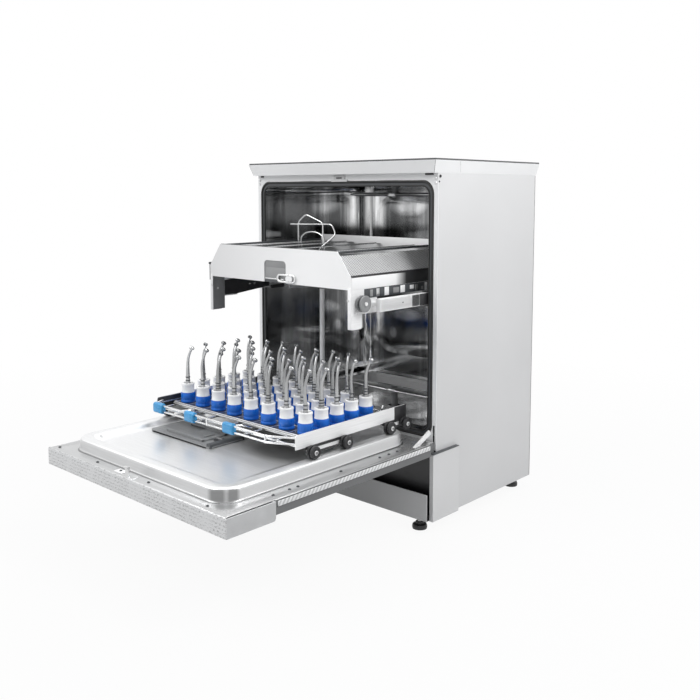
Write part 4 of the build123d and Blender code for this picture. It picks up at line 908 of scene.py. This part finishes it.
# Blue sockets with white caps, one for each place of the tray
SOCKET = [
    (16.2, 0), (17, 0.8), (17, 5), (16.2, 6), (16.2, 8), (17, 9), (17, 20), (16.4, 23.6), (5.4, 23.9),
]
SOCKET_CAP = [
    (15.5, 0), (15.5, 1), (14.9, 2), (14.4, 16), (15.2, 18), (15.4, 20.6), (14.6, 21.9), (11, 22),
    (9.6, 20.4), (8.6, 14),
]
stands = [(FIRST_X + PITCH_X * i, FIRST_Y + PITCH_Y * j) for j in range(ROWS) for i in range(COLUMNS)]
bases = Piece(BLUE)
caps = Piece(WHITE_PLASTIC)
for x, y in stands:
    bases.lathe((x, y, 278.05), SOCKET, 0, steps=28)
    caps.lathe((x, y, 302), SOCKET_CAP, 0, steps=28)
bases.put("socket_bases", "basket_lower", "sleeve_bases", slot="blue_plastic", sharp=50)
caps.put("socket_caps", "basket_lower", "sleeve_caps", slot="white_plastic", sharp=50)

# Three kinds of handpiece: the heights of the grip's rings, then height, reach and radius of the body
KINDS = (
    ((328, 336), (
        (303, 0, 6.2), (324, 0, 6.2), (330, 0, 4.9), (352, 0, 4.3), (372, 0.5, 3.6), (384, 2, 3.2),
        (393, 5, 2.9), (401, 8.5, 2.7), (406, 11, 2.7),
    )),
    ((327, 333, 339), (
        (303, 0, 6.6), (324, 0, 6.6), (331, 0, 5.6), (350, 0, 4.9), (366, 0, 4.4), (378, 1.5, 3.8),
        (388, 4.5, 3.2), (398, 9, 2.8), (404, 12, 2.7),
    )),
    ((328, 336), (
        (303, 0, 5.8), (324, 0, 5.8), (330, 0, 4.5), (345, 0, 4.0), (360, -1, 3.7), (372, -1, 3.5),
        (386, 1, 3.1), (398, 5, 2.8), (406, 9, 2.6),
    )),
)
HEAD = [(3.4, 0), (4.4, 0.8), (4.6, 4), (4.3, 7.4), (3.0, 9.6), (2.4, 10.6), (1.2, 10.8)]
HEAD_LEAN = radians(24)


def contra_angle(piece, x, y, turn, kind):
    """One handpiece: ringed grip, slim shank, bent neck and a round head."""
    grips, body = kind
    ahead = Vector((cos(turn), sin(turn), 0))
    base = Vector((x, y, 0))
    up = Vector(UP)
    piece.tube([base + ahead * out + up * z for z, out, r in body], [r for z, out, r in body], 0, 14)
    r = body[2][2]
    for z in grips:
        piece.lathe((x, y, z), [(r + 0.1, 0), (r + 0.7, 0.8), (r + 0.7, 2.2), (r, 3)], 1, steps=16)
    z_end, out_end = body[-1][:2]
    tip = base + ahead * (out_end + 1.2) + up * (z_end + 1.6)
    lean = (ahead * cos(HEAD_LEAN) - up * sin(HEAD_LEAN)).normalized()
    start = tip - lean * 5.4
    piece.lathe(start, HEAD, 0, lean, 18)
    piece.lathe(start - lean * 0.7, [(2.4, 0), (3.2, 0.7)], 1, lean, 16)


drills = Piece(CHROME, DARK)
for number, (x, y) in enumerate(stands):
    kind = KINDS[(number * 5 + number // COLUMNS) % 3]
    contra_angle(drills, x, y, radians(25 + 40 * (number % 3)), kind)
drills.put("contra_angles", "basket_lower", "handpieces", slot="handpiece_metal", sharp=50)

# Grid of the tray, its edge and the dark plate at its left
edges = Piece(STEEL, DARK, BLACK)
for i in range(COLUMNS + 1):
    x = max(-220, min(220, FIRST_X + PITCH_X * (i - 0.5)))
    edges.tube([(x, -251, 278.6), (x, -13, 278.6)], 1.1, 0, 6)
for j in range(ROWS + 1):
    y = max(-250, min(-14, FIRST_Y + PITCH_Y * (j - 0.5)))
    edges.tube([(-222, y, 279.0), (222, y, 279.0)], 1.1, 0, 6)
edges.crate((-233.7, -289, 264.5), (-233.2, -196, 292.8), 2, 0.2)
edges.tube(bent([(-233.0, -288, 280), (-233.0, -206, 280)], 1), 1.4, 0, 6)
for side in sides:
    edges.tube([(side * 223.2, -250, 276.2), (side * 223.2, -14, 276.2)], 1.9, steps=8)
for y in (-251.2, -12.8):
    edges.tube([(-222, y, 276.2), (222, y, 276.2)], 1.9, steps=8)
edges.put("tray_edges", "basket_lower", slot="basket_steel")


# Upper basket

HALF_SHELF, plate_back, _ = corners("upper_front_plate")[1]
SHELF_FRONT = plate_back + 0.5
SHELF_BACK = corners("upper_frame")[1][1] - 2
UPRIGHT_LOW = 486

# Uneven stripes that stand for the cut-outs of the side band and, partly, for painted reflections and
# painted shade on it:
# start, width, lower and upper height and the material's number
STRIPES = (
    (-66, 9, 552, 567, 7), (-45, 10, 551, 568, 4), (-18, 15, 550.5, 569, 1), (12, 20, 553, 565, 7),
    (37, 16, 552, 568, 1), (71, 14, 557, 566, 1), (91, 8, 552, 566, 4), (112, 8, 553, 560, 7),
    (126, 9, 551, 568, 1), (150, 12, 551, 568, 4), (172, 8, 551, 568, 1),
)
ARM_OUTLINE = [(-84, 519), (-40, 519.5), (66, 530), (66, 545), (-10, 557), (-40, 560), (-84, 556)]

# Top rim, rear wall and perforated ledges
upper = Piece(WIRE, PLATE, DARK, BLACK, STEEL, PERF, BAND, SHADED, PERF_DARK)
rim = bent([(-194, SHELF_BACK, 648), (-194, -121, 648), (194, -121, 648), (194, SHELF_BACK, 648)], 5)
upper.tube(rim + [rim[0]], 2.2, 2)
upper.crate((-192, 219.8, 612), (192, 221.4, 662), 1, 0.4)
upper.tube([(-193, -124.6, 650.2), (193, -124.6, 650.2)], 1.0, 2, 6)
for x0, x1 in ((132, 192), (-192, -150), (-96, -70), (8, 22)):
    upper.crate((x0, -118, 644.6), (x1, 218, 645.6), 5, 0.2)
    upper.tube([(x0, -118, 645.4), (x0, 218, 645.4)], 1.5, 2, 6)

# Side bands, stripes, screws, the uprights at the front and their dark arms; the bands' dark rear, the
# uprights' inner skins and the arms are painted shade
for side in sides:
    out = (side, 0, 0)
    skin = side * (HALF_SHELF + 0.1)
    upper.crate((skin, SHELF_FRONT, 570.4), (side * 235.5, SHELF_BACK, 596.6), 6, 0.1)
    upper.crate((skin, -84, 549.5), (side * 235.8, 190, 569.6), 2, 0.2)
    for y, wide, low, high, m in STRIPES:
        upper.crate((side * 235.7, y, low), (side * 236.4, y + wide, high), m, 0.3)
    for x, y0, z, radius, m, steps in ((230.4, -123, 570.2, 1.2, 2, 6), (234.4, -124, 598.2, 2.5, 3, 8)):
        upper.tube([(side * x, y0, z), (side * x, SHELF_BACK, z)], radius, m, steps)
    upper.screw((side * HALF_SHELF, -108, 520), out, 3.4, 4)
    upper.screw((side * 228, -126, 548), (0, -1, 0), 3.2, 4)
    upper.crate((side * 226, -126.6, UPRIGHT_LOW), (side * HALF_SHELF, -124.4, 575), 1, 0.8)
    near = side * 232.2
    # Inner skin of the upright: painted shade
    upper.crate((side * 232.7, SHELF_FRONT, UPRIGHT_LOW), (near, -84, 573), 7, 0.2)
    # Dark arm on the side plate: painted shade
    upper.plate([(side * 232.0, y, z) for y, z in ARM_OUTLINE], (side * 0.7, 0, 0), 3)
    upper.screw((near, -106, 538), (-side, 0, 0), 3.0, 1)
    for y in (-2, 14):
        upper.screw((side * 232.0, y, 541), (-side, 0, 0), 2.4, 4)

# Hook at the left and the perforated panel with its bar in the front plate; the hook's plate and the panel
# are painted shade
upper.crate((-239.4, -125.6, 560), (-237.6, -112, 600), 7, 0.6)
upper.tube([(-239.6, -125.6, 601), (-239.6, -110, 601)], 2.9, 2, 12)
upper.crate((-237.4, -124.8, 564), (-236.0, -118, 598), 4, 0.4)
for low, high, m in ((570, 576, 2), (576, 604, 8), (604, 619.8, 7)):
    upper.crate((-35.9, -124.4, low), (35.9, -124.1, high), m, 0.05)
upper.tube([(-35, -124.9, 578.5), (30, -124.9, 578.5)], 1.1, 4, 8)
upper.put("basket_fittings", "basket_upper", slot="basket_steel")

LEG_LEFT = -183
LEG_RIGHT = -93
PEAK = -155
HOOP_Y = 126
FOOT_Y = 56
LOW = 579.2
HIGH = 697

# Closed hoop with a pointed top, a second wire over it and a round arch
hoop = Piece(WIRE)
hoop.tube(bent([
    (LEG_LEFT, FOOT_Y, LOW), (LEG_LEFT, HOOP_Y, LOW), (LEG_LEFT, HOOP_Y, HIGH), (PEAK, HOOP_Y, HIGH + 21),
    (LEG_RIGHT, HOOP_Y, HIGH), (LEG_RIGHT, HOOP_Y, LOW), (LEG_RIGHT, FOOT_Y, LOW), (LEG_LEFT, FOOT_Y, LOW),
], 9), 2.0)
hoop.tube(bent([
    (-212, HOOP_Y, HIGH - 6), (-61, HOOP_Y, HIGH - 3), (-47, HOOP_Y, HIGH - 29),
    (-70, HOOP_Y - 30, HIGH - 60), (LEG_RIGHT, FOOT_Y, LOW),
], 10), 2.0)
ARCH_X = -131
ARCH_HALF = 42
arch = [(ARCH_X - ARCH_HALF, HOOP_Y, LOW)]
for k in range(13):
    a = pi * k / 12
    arch.append((ARCH_X - ARCH_HALF * cos(a), HOOP_Y, 652 + 21 * sin(a)))
arch.append((ARCH_X + ARCH_HALF, HOOP_Y, LOW))
hoop.tube(arch, 1.9)
hoop.put("hoop_insert", "basket_upper", "wire_insert", slot="basket_steel")

catch = Piece(WIRE)
rings = []
for inset, y in ((1.0, -126.35), (0, -127.3), (0, -129.3), (1.0, -130.2)):
    outline = rounded_rectangle(30.4 - inset, 572.1 + inset, 591.9 - inset, 9.8 - inset, 8)
    rings.append([(39.5 + x, y, z) for x, z in outline])
for inset, y in ((1.0, -130.2), (0, -129.3), (0, -127.3), (1.0, -126.35)):
    outline = rounded_rectangle(25.2 + inset, 576.8 - inset, 587.2 + inset, 5.1, 8)
    rings.append([(39.9 + x, y, z) for x, z in outline])
catch.skin(rings + rings[:1])
catch.put("loop_latch", "basket_latch", "basket_latch", slot="basket_steel", sharp=60)

_, GUIDE_Y, GUIDE_Z = middle("guide_wheels")
DISC = [
    (4.06, 0.3), (12, 0.3), (13, 0), (17.2, 0.2), (18, 1.2), (18, 2.8), (17.2, 3.8), (13, 4), (12, 3.5),
    (4.06, 3.5),
]
discs = Piece(GREY_PLASTIC, DARK)
for side in sides:
    for x in (237, 247):
        discs.lathe((side * x, GUIDE_Y, GUIDE_Z), DISC, 0, (side, 0, 0), 40)
    hub = [(4.06, 0), (9, 0), (9, 6), (4.06, 6)]
    discs.lathe((side * 241, GUIDE_Y, GUIDE_Z), hub, 1, (side, 0, 0), 24)
discs.put("guide_discs", "guide_wheels", "guide_wheels", slot="grey_plastic")

(_, _, RAIL_LOW), (HALF_RAILS, _, RAIL_HIGH) = corners("upper_rails")
rails = Piece(PLATE_Y, GREY_PLASTIC, BLACK)
for side in sides:
    face = side * (HALF_RAILS - 1.4)
    outer = side * HALF_RAILS
    # Outer face: steel at the front, then grey and black farther into the chamber: painted shade
    rails.crate((face, -70, RAIL_LOW + 1.5), (outer, 35, RAIL_HIGH - 1.5), 0, 0.4)
    rails.crate((face, 35, RAIL_LOW + 0.7), (outer, 62, RAIL_HIGH - 0.7), 1, 0.4)
    rails.crate((face, 62, RAIL_LOW + CLEAR), (outer + side * CLEAR, 278, RAIL_HIGH - CLEAR), 2, 0.4)
    rails.crate((side * 258.0, -71.8, 523.0), (side * 270.5, -69.0, 549.2), 0, 0.8)
    rails.screw((outer, 3, 536), (side, 0, 0), 1.6, 1)
rails.put("rail_faces", "upper_rails", slot="basket_steel")


# Studio

def path_switch(tree, seen, lit):
    """White to the camera and in reflections, and a plain level for everything else."""
    path = add_node(tree, "LightPath").outputs
    total = path["Is Camera Ray"]
    for ray in ("Is Glossy Ray", "Is Transmission Ray"):
        rays = {0: total, 1: path[ray]}
        total = add_node(tree, "Math", rays, operation="ADD", use_clamp=True).outputs[0]
    return add_node(tree, "MixShader", {0: total, 1: lit, 2: seen}).outputs[0]


def studio_world():
    """White surroundings to the eye, a plain soft level to light the object."""
    world = bpy.data.worlds.new("studio")
    bpy.context.scene.world = world
    world.use_nodes = True
    tree = world.node_tree
    tree.nodes.clear()
    seen = add_node(tree, "Background", Color=(1, 1, 1, 1), Strength=1.0).outputs[0]
    lit = add_node(tree, "Background", Color=(0.97, 0.98, 1, 1), Strength=0.50).outputs[0]
    add_node(tree, "OutputWorld", {"Surface": path_switch(tree, seen, lit)})


def floor_paper():
    """Pale paper that keeps the shadow near the object and turns white farther out."""
    s = Shader("floor_paper", Roughness=0.9, Specular_IOR_Level=0.0, Base_Color=(0.55, 0.55, 0.55, 1))
    glow = s.node("Emission", Color=(1, 1, 1, 1), Strength=1.0)
    fade = s.spread(s.length(s.where), 0.94, 1.0, 0.7, 2.2)
    mix = s.node("MixShader", {0: fade, 1: s.main.outputs[0], 2: glow.outputs[0]})
    surface = path_switch(s.tree, mix.outputs[0], s.main.outputs[0])
    s.tree.links.new(surface, s.tree.nodes["Material Output"].inputs["Surface"])
    return s.material


studio_world()
floor_mesh = bpy.data.meshes.new("floor")
bm = bmesh.new()
bmesh.ops.create_grid(bm, x_segments=40, y_segments=40, size=9)
bm.to_mesh(floor_mesh)
bm.free()
floor_mesh.materials.append(floor_paper())
floor = link(bpy.data.objects.new("floor", floor_mesh))


def softbox(name, place, aim, size, power):
    lamp = bpy.data.lights.new(name, "AREA")
    lamp.shape = "RECTANGLE"
    lamp.size, lamp.size_y = size
    lamp.energy = power
    o = link(bpy.data.objects.new(name, lamp))
    o.location = place
    o.rotation_euler = (Vector(aim) - Vector(place)).to_track_quat("-Z", "Y").to_euler()


softbox("key", (-1.6, -2.4, 2.9), (0, 0, 0.45), (2.2, 2.2), 76)
softbox("side", (1.35, 0.25, 1.75), (0.31, 0.25, 0.85), (0.7, 0.9), 21)
softbox("top", (0.2, 0.2, 3.4), (0, 0, 0.5), (2.6, 2.6), 30)
softbox("back", (-1.8, 3.0, 2.2), (0, 0, 0.5), (2.0, 2.0), 22)

lens = bpy.data.cameras.new("camera")
lens.sensor_width = 36
lens.lens = 43.76
lens.shift_y = -0.11
lens.clip_end = 60
camera = link(bpy.data.objects.new("camera", lens))
camera.location = (1.4328, -1.4330, 0.7779)
camera.rotation_euler = (radians(84.5), 0, radians(42.56))
bpy.context.scene.camera = camera
bpy.context.scene.view_settings.view_transform = "Standard"
